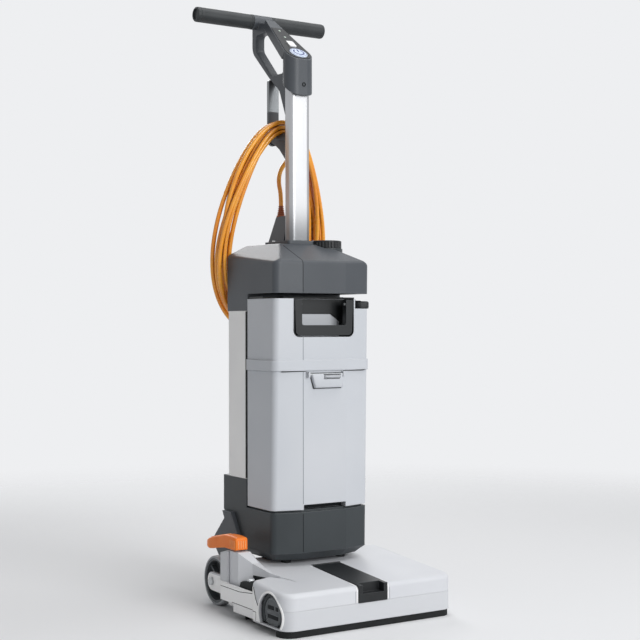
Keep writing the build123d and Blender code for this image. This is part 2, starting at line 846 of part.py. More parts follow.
# Column housings
def column_points(inset, corner_y, front, rear):
    half = column_half - inset
    facet = facet_half - inset * 0.3
    return [(-half, rear - inset), (-half, corner_y + inset), (-facet, front + inset),
            (facet, front + inset), (half, corner_y + inset), (half, rear - inset)]


def column_face(inset, corner_y, front, rear, z):
    return make_face(Polyline(*[(x, y, z) for x, y in column_points(inset, corner_y, front, rear)], close=True))


def corner_at(z):
    # The corners come forward a little as the column rises
    share = (z - tank_bottom) / (tank_top - tank_bottom)
    return corner_y_low + (corner_y_high - corner_y_low) * share


def column_loft(inset, rear, z0, z1):
    sections = [column_face(inset, corner_at(z), front_y, rear, z) for z in (z0, z1)]
    return round_corners(loft(sections, ruled=True), column_round - inset)


def round_corners(body, radius):
    # The two upright edges where the sides turn into the front
    upright = [edge for edge in body.edges() if abs(edge.tangent_at(0.5).Z) > 0.5]
    front = [edge for edge in upright if edge.center().Y < 0 and abs(edge.center().X) > facet_half + wall * 4]
    return fillet(front, radius)


def base_housing():
    knee = base_bottom + base_bevel
    bottom = column_face(base_bevel, corner_at(knee), front_y, column_rear, base_bottom)
    rim = column_face(0, corner_at(knee), front_y, column_rear, knee)
    body = round_corners(loft([bottom, rim], ruled=True), column_round)
    body += column_loft(0, column_rear, knee, base_top)
    kink = [(back_front, base_top - 40), (column_rear, base_top - 26), (riser_rear, base_top - 12)]
    body += side_slab(kink + [(riser_rear, riser_top), (back_front, riser_top)], -column_half, column_half)
    body -= column_loft(wall, column_rear, knee, base_top - wall)
    # Seat that holds the tanks a little above the rim
    body += column_loft(seat_inset, tank_rear, base_top - wall, tank_bottom - gap)
    return body - block(-column_half + wall, column_half - wall, back_front + wall, column_rear - wall,
                        base_top - 30, riser_top + 1)


def pivot_plates():
    # Side plates that carry the column on the axle and flare out behind it
    outline = [(wheel_y - plate_boss_radius, wheel_radius), (wheel_y - plate_boss_radius - 2, base_bottom + 36)]
    outline += [(wheel_y + 6, base_top - 14), (riser_rear - 8, base_top - 14), (column_rear, base_top - 28)]
    outline += [(wheel_y + 76, base_bottom + 18), (wheel_y + 68, base_bottom)]
    outline.append((wheel_y + plate_boss_radius, wheel_radius))
    plates = []
    for side in (-1, 1):
        x0, x1 = sorted((side * column_half, side * (column_half + plate_thickness)))
        plate = side_slab(outline, x0, x1) + rod_x(x0, x1, wheel_y, wheel_radius, plate_boss_radius)
        plates.append(plate - rod_x(x0 - 1, x1 + 1, wheel_y, wheel_radius, axle_radius + running_fit))
    return Compound(children=plates)


def rear_housing():
    half = column_half
    outer = block(-half, half, back_front, column_rear, riser_top, back_top)
    outer = fillet(outer.edges().filter_by(Axis.Z).group_by(Axis.Y)[-1], rear_round)
    inner = block(-half + thin_wall, half - thin_wall, back_front + thin_wall, column_rear - thin_wall,
                  riser_top - 1, back_top + 1)
    return outer - inner


def roof_plane(a, b, c, drop):
    normal = (Vector(*b) - Vector(*a)).cross(Vector(*c) - Vector(*a))
    up = normal if normal.Z > 0 else normal * -1
    lowered = Vector(*a) - Vector(0, 0, drop)
    return Plane(origin=lowered, z_dir=up)


def roofed(inset, drop, z0):
    # Column outline under a hipped roof
    body = column_loft(inset, column_rear, z0, roof_top - drop)
    for side in (-1, 1):
        edge = side * column_half
        plane = roof_plane((edge, front_y, eave_front), (edge, column_rear, eave_rear),
                           (side * roof_half, roof_front, roof_top), drop)
        body = split(body, bisect_by=plane, keep=Keep.BOTTOM)
    brow = eave_front + roof_front_rise
    front = roof_plane((-facet_half, front_y, brow), (facet_half, front_y, brow),
                       (0, roof_front, roof_top), drop)
    body = split(body, bisect_by=front, keep=Keep.BOTTOM)
    rear = roof_plane((-facet_half, column_rear, eave_rear + 4), (facet_half, column_rear, eave_rear + 4),
                      (0, roof_rear, roof_top), drop)
    return split(body, bisect_by=rear, keep=Keep.BOTTOM)


def top_housing():
    body = roofed(0, 0, back_top)
    above = [edge for edge in body.edges() if edge.center().Z > eave_front - 2]
    soft = [edge for edge in above if edge.center().Y < roof_rear - 1]
    body = fillet(soft, roof_round)
    body -= block(-column_half - 1, column_half + 1, front_y - 20, back_front - 4, back_top - 1, top_bottom)
    cavity = roofed(wall, wall, back_top - 1)
    cavity -= block(-column_half, column_half, back_front - 4, back_front - 4 + wall, back_top - 2, top_bottom)
    body -= cavity
    return body - rod_z(collar_x, collar_y, collar_bottom, roof_top, collar_radius)


def fan_casing():
    # Plate that closes the housing's underside, with the fan's drum on it
    z0 = top_bottom + motor_plate_thickness
    z1 = z0 + casing_height
    plate = [column_face(wall, corner_at(top_bottom), front_y, back_front, z) for z in (top_bottom, z0)]
    case = round_corners(loft(plate, ruled=True), column_round - wall + gap)
    case += rod_z(inlet_x, inlet_y, z0, z1, casing_radius)
    case -= rod_z(inlet_x, inlet_y, z0 + thin_wall, z1 - thin_wall, casing_radius - thin_wall)
    case -= rod_z(inlet_x, inlet_y, top_bottom - 1, z0 + thin_wall + 1, inlet_radius - 4)
    return case - rod_z(inlet_x, inlet_y, z1 - thin_wall - 1, z1 + 1, fan_shaft_radius + running_fit)


def vacuum_fan():
    z0 = top_bottom + motor_plate_thickness + thin_wall + 4
    fan = rod_z(inlet_x, inlet_y, z0 + fan_height - 2, z0 + fan_height, fan_radius)
    for blade in range(fan_blades):
        vane = Pos(fan_radius / 2 + 6, 0, fan_height / 2) * Box(fan_radius - 14, 2, fan_height)
        fan += Pos(inlet_x, inlet_y, z0) * Rot(0, 0, 360 * blade / fan_blades) * vane
    top = top_bottom + motor_plate_thickness + casing_height
    return fan + rod_z(inlet_x, inlet_y, z0, top - gap, fan_shaft_radius)


def vacuum_motor():
    z0 = top_bottom + motor_plate_thickness + casing_height
    can = rod_z(inlet_x, inlet_y, z0, z0 + vacuum_height, vacuum_radius)
    return can - rod_z(inlet_x, inlet_y, z0 - 1, z0 + 6, 8.0)


def cap_collar():
    neck = rod_z(collar_x, collar_y, collar_bottom, collar_top, collar_radius)
    return neck - rod_z(collar_x, collar_y, collar_top - cap_spigot - 1, collar_top + 1, collar_bore)


def screw_cap():
    z0 = collar_top + gap
    cap = rod_z(collar_x, collar_y, z0, z0 + cap_height, cap_radius)
    cap = fillet(cap.edges().sort_by(Axis.Z)[-1], 2.0)
    for groove in range(cap_grooves):
        turn = 2 * math.pi * groove / cap_grooves
        cap -= rod_z(collar_x + cap_radius * math.cos(turn), collar_y + cap_radius * math.sin(turn),
                     z0 - 1, z0 + cap_height - 3, 1.6)
    return cap + rod_z(collar_x, collar_y, z0 - cap_spigot, z0, collar_bore - 1)


def suction_pipe():
    y = (back_front + column_rear) / 2
    low, high = base_top + pipe_foot, back_top + pipe_head
    pipe = rod_z(pipe_x, y, low, high, pipe_radius)
    return pipe - rod_z(pipe_x, y, low - 1, high + 1, pipe_radius - pipe_wall)


def solution_pump():
    y = (back_front + column_rear) / 2
    low = riser_top + pump_foot
    high = low + pump_height
    pump = rod_z(pump_x, y, low, high, pump_radius)
    return pump + block(pump_x - pump_bracket_half, pump_x + pump_bracket_half, y, column_rear - thin_wall,
                        low + pump_bracket_inset, high - pump_bracket_top)


# Tanks
def tank_slot(extra):
    # Finger slot under the tank's front face
    half = facet_half - slot_margin + extra
    roof = tank_bottom + slot_height + extra
    return block(-half, half, front_y - 20, front_y + slot_depth + extra, tank_bottom - 1, roof)


def clean_tank():
    tank = column_loft(0, tank_rear, tank_bottom, tank_split)
    hollow = column_loft(thin_wall, tank_rear, tank_bottom + thin_wall, tank_split + 1)
    tank = tank - (hollow - tank_slot(thin_wall)) - tank_slot(0)
    y0 = front_y - latch_thickness + 2
    for x in (-latch_half - 5, latch_half + 1):
        tank += block(x, x + 4, y0, front_y + 1, latch_top - 10, latch_top)
    pin_y = front_y - latch_thickness / 2
    return tank - rod_x(-latch_half - 6, latch_half + 6, pin_y, latch_top - 5, latch_pin_radius)


def handle_recess(extra):
    pocket = block(-recess_half - extra, recess_half + extra, front_y - 30, front_y + recess_depth + extra,
                   recess_bottom - extra, tank_top + 1)
    return fillet(pocket.edges().filter_by(Axis.Y).group_by(Axis.Z)[0], recess_corner + extra)


def spout_notch(extra):
    return block(shoulder_x - extra, column_half + 20, front_y - 30, shoulder_y + extra,
                 shoulder_z - extra, tank_top + 1)


def recovery_tank():
    tank = column_loft(0, tank_rear, tank_split, tank_top)
    tank += column_loft(-2.5, tank_rear - 2.5, tank_split, tank_split + 20)
    hollow = column_loft(thin_wall, tank_rear, tank_split + thin_wall, tank_top + 1)
    hollow -= handle_recess(thin_wall)
    hollow -= spout_notch(thin_wall)
    tank = tank - handle_recess(0) - spout_notch(0) - hollow
    tank -= rod_z(plug_x, plug_y, shoulder_z - 10, shoulder_z + 1, spout_radius)
    pin_y = front_y + bail_thickness / 2 + 1
    return tank - rod_x(-recess_half - thin_wall, recess_half + thin_wall, pin_y, bail_pin_z, bail_pin_radius)


def recovery_lid():
    front = front_y + recess_depth + thin_wall
    half, step = column_half - 2, shoulder_y + thin_wall
    lid = block(-half, half, step, tank_rear - 1, tank_top, tank_top + lid_thickness)
    lid += block(-recess_half, recess_half, front, step, tank_top, tank_top + lid_thickness)
    return lid - rod_z(inlet_x, inlet_y, tank_top - 1, tank_top + lid_thickness + 1, inlet_radius - 4)


def tank_bail():
    y0 = front_y + 1
    foot = bail_half - bail_taper
    outer = [(-bail_half, bail_top), (-foot, bail_bottom), (foot, bail_bottom), (bail_half, bail_top)]
    line = FilletPolyline(*[(x, y0, z) for x, z in outer], radius=[2, 9, 9, 2], close=True)
    frame = extrude(make_face(line), bail_thickness, dir=(0, 1, 0))
    half = bail_half - bail_arm
    window = block(-half, half, y0 - 1, y0 + bail_thickness + 1, bail_bottom + bail_bar, bail_top + 1)
    frame -= fillet(window.edges().filter_by(Axis.Y).group_by(Axis.Z)[0], 4.0)
    pin_y = y0 + bail_thickness / 2
    return frame - rod_x(-bail_half - 1, bail_half + 1, pin_y, bail_pin_z, bail_pin_radius + running_fit)


def tank_pins():
    # Two pins for the carrying bail and one for the latch
    pin_y = front_y + 1 + bail_thickness / 2
    inner = bail_half - bail_arm - 2
    outer = recess_half + thin_wall
    pins = [rod_x(*ends, pin_y, bail_pin_z, bail_pin_radius) for ends in ((-outer, -inner), (inner, outer))]
    latch_y = front_y - latch_thickness / 2
    pins.append(rod_x(-latch_half - 5, latch_half + 5, latch_y, latch_top - 5, latch_pin_radius))
    return Compound(children=pins)


def tank_latch():
    y0 = front_y - latch_thickness
    z0 = latch_top - latch_height
    back = front_y - gap
    crown = latch_top - 3.5
    profile = [(y0, crown), (y0 - 1, z0), (back, z0), (back, crown - 2), (back - 2, crown)]
    body = side_slab(profile, -latch_half, latch_half)
    slot_half = latch_half - 9
    body -= block(-slot_half, slot_half, y0 - 2, y0 + 5, latch_top - 13, latch_top - 5)
    return body - rod_x(-latch_half - 1, latch_half + 1, front_y - latch_thickness / 2, latch_top - 5,
                        latch_pin_radius + running_fit)


def filler_plug():
    z0 = shoulder_z + gap / 2
    cap = rod_z(plug_x, plug_y, z0, z0 + plug_height, plug_radius)
    cap = fillet(cap.edges().sort_by(Axis.Z)[-1], 3.0)
    spigot = rod_z(plug_x, plug_y, shoulder_z - 9, z0, spout_radius - 0.3)
    tab = block(plug_x - 5, plug_x + 5, plug_y, shoulder_y - 1, z0 + plug_height - 4, z0 + plug_height - 1)
    return cap + spigot + tab


# Mast
def mast_section(extra):
    return RectangleRounded(mast_width + 2 * extra, mast_depth + 2 * extra, mast_corner + extra)


def mast_prism(extra, z0, z1):
    return extrude(Pos(0, mast_y, z0) * mast_section(extra), z1 - z0, dir=(0, 0, 1))


def mast():
    z0 = roof_top + foot_height
    return mast_prism(0, z0, mast_top) - mast_prism(-mast_wall, z0 - 1, mast_top + 1)


strip_front = mast_y + mast_depth / 2
strip_rear = strip_front + strip_thickness


def mast_strip():
    half = strip_width / 2
    return block(-half, half, strip_front, strip_rear, roof_top + foot_height, strip_top)


def fin_face(half, rear, z):
    corners = [(-half, strip_rear, z), (half, strip_rear, z), (half, rear, z), (-half, rear, z)]
    return make_face(Polyline(*corners, close=True))


def mast_foot():
    top = roof_top + foot_height
    half = mast_width / 2 + 7
    plinth = block(-half, half, roof_front + 1, fin_rear, roof_top, top)
    plinth = fillet(plinth.edges().filter_by(Axis.Z), 6.0)
    foot_face = fin_face(fin_foot_half, fin_rear, top - 1)
    foot = plinth + loft([foot_face, fin_face(fin_half, gland_y + 4, top + fin_height)], ruled=True)
    return foot + mast_prism(-mast_wall - press_fit, top, top + spigot_height)


# Handle head
arm_slope = math.degrees(math.atan2(arm_high_z - arm_low_z, arm_high_y - arm_low_y))
arm_length = math.hypot(arm_high_y - arm_low_y, arm_high_z - arm_low_z)
arm_plane = Plane(origin=(0, arm_low_y, arm_low_z), x_dir=(1, 0, 0),
                  z_dir=(0, -math.sin(math.radians(arm_slope)), math.cos(math.radians(arm_slope))))


def on_arm(sketch, z0, z1):
    # A flat outline on the arm's sloping top, carried square to it
    return arm_plane * (Pos(0, 0, z0) * extrude(sketch, z1 - z0, dir=(0, 0, 1)))


sleeve_y = mast_y + (sleeve_wall - sleeve_front) / 2
sleeve_depth = mast_depth + sleeve_wall + sleeve_front
arm_start = (sleeve_y - arm_low_y) / math.cos(math.radians(arm_slope))


def arm_outline(margin, end):
    # The arm narrows from the sleeve's full width to the bar
    share = (end - arm_start) / (arm_length - arm_start)
    low = sleeve_half - margin
    high = sleeve_half + (arm_high_half - sleeve_half) * share - margin
    return make_face(Polyline((-low, arm_start), (low, arm_start), (high, end), (-high, end), close=True))


def sleeve_prism(inset, z0, z1):
    section = RectangleRounded(2 * (sleeve_half - inset), sleeve_depth - 2 * inset, sleeve_corner - inset)
    return extrude(Pos(0, sleeve_y, z0) * section, z1 - z0, dir=(0, 0, 1))


def power_outline(clear):
    return Pos(0, power_at) * Ellipse(power_long + clear, power_short + clear)


def water_outline(clear):
    return Pos(0, water_at) * RectangleRounded(water_width + 2 * clear, water_length + 2 * clear, 3 + clear)


def lens_outline(clear, step):
    return Pos(0, lens_at + step * lens_step) * Circle(lens_radius + clear)


pocket_depth = button_depth + button_travel + gap


def handle_frame():
    hook_rear = finger_front + 3
    web = [(strip_rear, strip_top - 25), (strip_rear + 9, strip_top - 25), (strip_rear + 33, strip_top + 30)]
    web += [(hook_rear, finger_top + 3), (handle_rear, bar_z - 59), (handle_rear, bar_z - 4), (bar_y, bar_z)]
    web += [(arm_high_y, arm_high_z - 6), (strip_front, arm_low_z + 24), (strip_front, mast_top + 5)]
    web += [(strip_rear, mast_top + 5)]
    bends = [0.5, 3, 30, 40, 30, 3, 1, 1, 1, 0.5, 0.5]
    outline = FilletPolyline(*[(-loop_half, y, z) for y, z in web], radius=bends, close=True)
    frame = extrude(make_face(outline), 2 * loop_half, dir=(1, 0, 0))
    loop_low = finger_top + loop_low_gap
    loop_rear = handle_rear - loop_wall
    window = [(loop_front, bar_z - loop_front_drop), (loop_low_front, loop_low), (loop_low_rear, loop_low)]
    window += [(loop_rear, bar_z - loop_rear_drop), (loop_rear, bar_z - loop_high_drop)]
    window.append((loop_high_front, bar_z - loop_high_drop))
    bends = [12, 8, 12, 18, 8, 12]
    gap_line = FilletPolyline(*[(-loop_half - 1, y, z) for y, z in window], radius=bends, close=True)
    frame -= extrude(make_face(gap_line), 2 * loop_half + 2, dir=(1, 0, 0))
    frame = fillet(frame.edges().filter_by(Axis.X, reverse=True).filter_by(GeomType.LINE).filter_by(
        lambda edge: edge.center().Y > strip_rear + 40), 2.5)
    frame += on_arm(arm_outline(0, arm_length), -arm_depth, 0)
    sleeve = sleeve_prism(0, strip_top - 10, bar_z)
    sleeve = split(sleeve, bisect_by=arm_plane, keep=Keep.BOTTOM)
    skirt = Plane(origin=(0, mast_y, strip_top + skirt_rise), z_dir=(0, -skirt_slope, 1))
    sleeve = split(sleeve, bisect_by=skirt, keep=Keep.TOP)
    frame += sleeve
    frame += rod_x(-hub_half, hub_half, bar_y, bar_z, hub_radius)
    frame -= mast_prism(press_fit, strip_top - 40, mast_top)
    frame -= rod_x(-hub_half - 1, hub_half + 1, bar_y, bar_z, bar_radius)
    frame -= on_arm(power_outline(gap), -pocket_depth, 1)
    frame -= on_arm(water_outline(gap), -pocket_depth, 1)
    for step in (0, 1):
        frame -= on_arm(lens_outline(0, step), -3, 1)
    return frame


def control_panel():
    panel = on_arm(arm_outline(panel_margin, lens_at + lens_step + panel_end), 0, panel_thickness)
    nose = on_arm(Rectangle(4 * sleeve_half, 4 * sleeve_half), 0, panel_thickness)
    panel += nose & sleeve_prism(panel_margin, mast_top, bar_z)
    panel -= on_arm(power_outline(gap), -1, panel_thickness + 1)
    panel -= on_arm(water_outline(gap), -1, panel_thickness + 1)
    for step in (0, 1):
        panel -= on_arm(lens_outline(0, step), -1, panel_thickness + 1)
    return panel


def power_button():
    return on_arm(power_outline(0), -button_depth, button_proud + panel_thickness)


def water_button():
    return on_arm(water_outline(0), -button_depth, button_proud + panel_thickness)


def indicator_lenses():
    lenses = [on_arm(lens_outline(0, step), -3, panel_thickness + 0.4) for step in (0, 1)]
    return Compound(children=lenses)


def handle_bar():
    tube = rod_x(-bar_half, bar_half, bar_y, bar_z, bar_radius)
    return tube - rod_x(-bar_half - 1, bar_half + 1, bar_y, bar_z, bar_radius - 2)


def handle_grips():
    grips = []
    for side in (-1, 1):
        x0, x1 = sorted((side * hub_half, side * grip_half))
        grip = rod_x(x0, x1, bar_y, bar_z, grip_radius)
        end = side * grip_half
        grip = fillet(grip.edges().filter_by(GeomType.CIRCLE).sort_by(Axis.X)[0 if side < 0 else -1], 2.5)
        b0, b1 = sorted((side * (hub_half - 1), side * bar_half))
        grip -= rod_x(b0, b1, bar_y, bar_z, bar_radius)
        d0, d1 = sorted((end, end - side * 2.0))
        grips.append(grip - rod_x(d0, d1, bar_y, bar_z, grip_radius - 4))
    return Compound(children=grips)


# Cable hook
def hook_bracket():
    profile = [(strip_rear, peg_z - 48), (strip_rear + 8, peg_z - 48), (finger_front - 34, peg_z - 22)]
    profile += [(finger_front - 8, peg_z - 6), (finger_front - 8, peg_z + 4), (strip_rear, peg_z + 4)]
    arm = side_slab(profile, -bracket_half, bracket_half)
    arm += rod_y(0, strip_rear, finger_front - gap, peg_z, peg_radius)
    rear = finger_front + finger_thickness + gap
    arm += rod_y(0, finger_front - gap, rear, peg_z, spindle_radius)
    return arm + rod_y(0, rear, rear + 3, peg_z, spindle_radius + 3)


def finger_slab(z0, z1):
    return block(-finger_half, finger_half, finger_front, finger_front + finger_thickness, z0, z1)


def hook_finger():
    rear = finger_front + finger_thickness
    foot = finger_slab(peg_z, finger_band) + rod_y(0, finger_front, rear, peg_z, finger_half)
    return foot - rod_y(0, finger_front - 1, rear + 1, peg_z, spindle_radius + running_fit)


def hook_sleeve():
    tip = finger_slab(finger_band, finger_top)
    return fillet(tip.edges().filter_by(Axis.Y).group_by(Axis.Z)[-1], 4.0)


# Mains cord: gland, lead, coil hung on the hook, tail and plug
gland_z = roof_top + foot_height + fin_height


coil_turns = layers * layer_turns + (layers - 1) * climb_turns


def coil_place(turn):
    # Size and layer of the loop at this many turns from the top of the first one
    span = layer_turns + climb_turns
    start = max(turn, 0.0)
    layer = min(int(start / span), layers - 1)
    into = start - layer * span
    outward = min(into, layer_turns)
    size = outward if layer % 2 == 0 else layer_turns - outward
    climb = max(0.0, into - layer_turns) / climb_turns
    leave = max(0.0, turn - coil_turns + climb_turns) / climb_turns
    return size, layer + climb + leave


def coil_loop(turn):
    # Innermost loop, a drop shape: position and direction in its own plane
    angle = 2 * math.pi * turn
    height = coil_top - coil_bottom
    x = -coil_half_width * math.sin(angle) * (1 - coil_waist * math.cos(angle))
    z = coil_top - height * (1 - math.cos(angle)) / 2
    across = -coil_half_width * (math.cos(angle) - coil_waist * math.cos(2 * angle))
    down = -height * math.sin(angle) / 2
    size = math.hypot(across, down)
    return x, z, across / size, down / size


def coil_point(turn):
    # Later turns lie outside or inside the first, side by side, more loosely towards the bottom
    size, layer = coil_place(turn)
    x, z, across, down = coil_loop(turn)
    pitch = top_step + (bottom_step - top_step) * (1 - math.cos(2 * math.pi * turn)) / 2
    x += down * pitch * size
    z -= across * pitch * size
    return Vector(x, coil_front_y + layer * layer_step + (coil_top - z) * coil_lean, z)


def coil_tangent(turn):
    x, z, across, down = coil_loop(turn)
    return Vector(across, -down * coil_lean, down).normalized()


def biarc(start, start_way, end, end_way, reach, reach_first):
    # Two arcs that meet smoothly; reach is the tangent length at the first or the last end
    across = end - start
    bend = start_way.dot(end_way) - 1
    if reach_first:
        first = reach
        last = (across.dot(across) / 2 - first * across.dot(start_way)) / (across.dot(end_way) - first * bend)
    else:
        last = reach
        first = (across.dot(across) / 2 - last * across.dot(end_way)) / (across.dot(start_way) - last * bend)
    near = start + start_way * first
    far = end - end_way * last
    meet = (near * last + far * first) * (1 / (first + last))
    way = (far - near).normalized()
    return [TangentArc(start, meet, tangent=start_way), TangentArc(meet, end, tangent=way)]


crown_radius = (coil_half_width * (1 - coil_waist)) ** 2 / ((coil_top - coil_bottom) / 2)
coil_start = Vector(first_bend, coil_front_y + first_bend * coil_lean, coil_top - first_bend)
coil_start_way = Vector(0, -0.25, 1).normalized()


def coil_edges():
    edges = biarc(coil_start, coil_start_way, coil_point(0), coil_tangent(0), first_bend * 0.42, False)
    stations = [step / 4 for step in range(int(coil_turns * 4) + 1)]
    for index, (here, there) in enumerate(zip(stations, stations[1:])):
        quarter = index % 4
        start, end = coil_point(here), coil_point(there)
        if quarter in (0, 3):
            size, layer = coil_place(here if quarter == 0 else there)
            reach = crown_reach * (crown_radius + size * top_step)
        else:
            reach = flank_reach * (end - start).length
        edges += biarc(start, coil_tangent(here), end, coil_tangent(there), reach, quarter < 2)
    return edges


def swept_cord(path, at, way):
    return sweep(Plane(origin=at, z_dir=way) * Circle(cord_diameter / 2), path=path)


def cord_coil():
    return swept_cord(Wire(coil_edges()), coil_start, coil_start_way)


def free_path(points):
    # Straight runs joined by arcs as large as the runs allow
    radii = []
    points = [Vector(*point) for point in points]
    for before, here, after in zip(points, points[1:], points[2:]):
        turn = (here - before).get_angle(after - here)
        shorter = min((here - before).length, (after - here).length)
        radii.append(0.45 * shorter / math.tan(math.radians(turn / 2)))
    print("cord bend radii", [round(radius, 1) for radius in radii])
    return FilletPolyline(*points, radius=radii)


coil_end = coil_point(coil_turns)

lead_points = [
    (0, gland_y, gland_z + gland_length),
    (0, gland_y, gland_z + gland_length + 23),
    (4, gland_y + 6, gland_z + gland_length + 47),
    (13, gland_y + 8, gland_z + gland_length + 72),
    coil_start - coil_start_way * 28,
    coil_start,
]

tail_points = [
    coil_end,
    coil_end + Vector(20, 0, 0),
    coil_end + Vector(42, 5, -5),
    coil_end + Vector(62, 7, -20),
    coil_end + Vector(73, 6, -43),
    coil_end + Vector(73, 2.5, -70),
    coil_end + Vector(73, -3, -97),
    coil_end + Vector(73, -3, -124),
]


def cord_lead():
    way = Vector(*lead_points[1]) - Vector(*lead_points[0])
    return swept_cord(free_path(lead_points), lead_points[0], way)


def cord_tail():
    return swept_cord(free_path(tail_points), tail_points[0], tail_points[1] - tail_points[0])


def cord_gland():
    lower = Pos(0, gland_y, gland_z) * Circle(gland_radius)
    upper = Pos(0, gland_y, gland_z + gland_length) * Circle(cord_diameter / 2 + 1)
    return loft([lower, upper], ruled=True)


def cord_plug():
    end = tail_points[-1]
    shoulder_face = Pos(end.X, end.Y, end.Z) * RectangleRounded(20, 16, 6)
    body_face = Pos(end.X, end.Y, end.Z - 14) * RectangleRounded(36, 24, 9)
    body = loft([shoulder_face, body_face], ruled=True)
    body += extrude(body_face, plug_body_length - 14, dir=(0, 0, -1))
    low = end.Z - plug_body_length
    for side in (-1, 1):
        body += rod_z(end.X + side * 9.5, end.Y, low - plug_pin_length, low + 1, 2.4)
    return body


def report_cord():
    # Lengths, and the least gap between turns of the coil, measured on points along it
    points = []
    edges = coil_edges()
    for edge in edges:
        count = max(2, int(edge.length / 5))
        points += [tuple(edge.position_at(step / count)) for step in range(count)]
    length = sum(edge.length for edge in edges)
    spacing = length / len(points)
    skip = int(cord_diameter * 4 / spacing)
    total = len(points)
    least = min(math.dist(points[i], points[j]) for i in range(total) for j in range(i + skip, total))
    tightest = min(edge.radius for edge in edges)
    room = round(least - cord_diameter, 2)
    print("coil length", round(length), "least gap", room, "tightest", round(tightest, 1))


nodes = {
    "deck_cover": deck_cover, "deck_chassis": deck_chassis, "front_lip": front_lip,
    "duct_cover": duct_cover, "suction_duct": suction_duct, "rest_bumpers": rest_bumpers,
    "brush_core": brush_core, "brush_bristles": brush_bristles, "drive_hub": drive_hub,
    "brush_end_knob": brush_end_knob, "brush_motor": brush_motor,
    "motor_pulley": motor_pulley, "drive_belt": drive_belt,
    "squeegee_holder": squeegee_holder, "squeegee_blades": squeegee_blades, "lift_link": lift_link,
    "rear_axle": rear_axle, "axle_bolts": axle_bolts,
    "left_tyre": lambda: wheel_tyre(-1), "right_tyre": lambda: wheel_tyre(1),
    "left_wheel_hub": lambda: wheel_hub(-1), "right_wheel_hub": lambda: wheel_hub(1),
    "foot_pedal": foot_pedal, "pedal_pin": pedal_pin,
    "base_housing": base_housing, "pivot_plates": pivot_plates,
    "rear_housing": rear_housing, "top_housing": top_housing,
    "fan_casing": fan_casing, "vacuum_fan": vacuum_fan, "vacuum_motor": vacuum_motor,
    "cap_collar": cap_collar, "screw_cap": screw_cap, "suction_pipe": suction_pipe,
    "solution_pump": solution_pump,
    "clean_tank": clean_tank, "recovery_tank": recovery_tank, "recovery_lid": recovery_lid,
    "tank_bail": tank_bail, "tank_pins": tank_pins, "tank_latch": tank_latch,
    "filler_plug": filler_plug,
    "mast": mast, "mast_strip": mast_strip, "mast_foot": mast_foot,
    "handle_frame": handle_frame, "control_panel": control_panel, "power_button": power_button,
    "water_button": water_button, "indicator_lenses": indicator_lenses, "handle_bar": handle_bar,
    "handle_grips": handle_grips,
    "hook_bracket": hook_bracket, "hook_finger": hook_finger, "hook_sleeve": hook_sleeve,
    "cord_gland": cord_gland, "cord_lead": cord_lead, "cord_coil": cord_coil, "cord_tail": cord_tail,
    "cord_plug": cord_plug,
}

os.makedirs("parts", exist_ok=True)
for node, make in nodes.items():
    save(make(), node)
report_cord()
print(len(nodes), "nodes")
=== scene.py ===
import bmesh
import bpy
import math
from mathutils import Matrix, Vector


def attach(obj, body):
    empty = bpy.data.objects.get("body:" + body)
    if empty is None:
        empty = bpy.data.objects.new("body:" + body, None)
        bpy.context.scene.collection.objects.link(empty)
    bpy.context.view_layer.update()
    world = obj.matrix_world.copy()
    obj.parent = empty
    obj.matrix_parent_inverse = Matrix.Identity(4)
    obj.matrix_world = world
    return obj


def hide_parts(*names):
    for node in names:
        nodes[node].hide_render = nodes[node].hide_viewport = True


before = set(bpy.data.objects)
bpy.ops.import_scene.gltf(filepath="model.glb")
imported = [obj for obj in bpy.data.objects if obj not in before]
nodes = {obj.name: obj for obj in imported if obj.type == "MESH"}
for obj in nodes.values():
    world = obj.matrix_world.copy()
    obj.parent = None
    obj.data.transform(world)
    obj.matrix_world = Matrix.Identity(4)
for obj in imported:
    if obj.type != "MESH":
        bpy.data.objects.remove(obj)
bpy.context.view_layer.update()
scene = bpy.context.scene
mm = 0.001

# camera, matched to the photograph's viewpoint
cameraSetup = {"place": (-1.305, -2.085, 0.533), "azimuth": -32.45, "pitch": -0.13, "roll": -0.07,
               "lens": 73.41, "sensor": 36}


def placeCamera(setup):
    turn, lift, roll = (math.radians(setup[key]) for key in ("azimuth", "pitch", "roll"))
    back = Vector((math.sin(turn) * math.cos(lift), -math.cos(turn) * math.cos(lift), math.sin(lift)))
    right = Vector((math.cos(turn), math.sin(turn), 0))
    up = back.cross(right)
    across = right * math.cos(roll) + up * math.sin(roll)
    above = up * math.cos(roll) - right * math.sin(roll)
    camera = bpy.data.objects.new("camera", bpy.data.cameras.new("camera"))
    camera.data.lens = setup["lens"]
    camera.data.sensor_width = setup["sensor"]
    camera.matrix_world = Matrix.Translation(setup["place"]) @ Matrix((across, above, back)).transposed().to_4x4()
    scene.collection.objects.link(camera)
    scene.camera = camera


placeCamera(cameraSetup)
print("camera placed")


# small helpers that the finishes share
def linear(hexText):
    parts = [int(hexText[i:i + 2], 16) / 255 for i in (1, 3, 5)]
    return tuple(c / 12.92 if c <= 0.04045 else ((c + 0.055) / 1.055) ** 2.4 for c in parts) + (1.0,)


def setNode(tree, node, values=None, links=None):
    for key, value in (values or {}).items():
        if isinstance(key, int) or key in node.inputs:
            node.inputs[key].default_value = value
        else:
            setattr(node, key, value)
    for key, (source, output) in (links or {}).items():
        tree.links.new(source.outputs[output], node.inputs[key])
    return node


def addNode(tree, kind, values=None, links=None):
    return setNode(tree, tree.nodes.new(kind), values, links)


def startMaterial(name):
    material = bpy.data.materials.new(name)
    material.use_nodes = True
    tree = material.node_tree
    tree.nodes.clear()
    shader = addNode(tree, "ShaderNodeBsdfPrincipled")
    addNode(tree, "ShaderNodeOutputMaterial", links={"Surface": (shader, "BSDF")})
    place = addNode(tree, "ShaderNodeTexCoord")
    return material, tree, shader, place


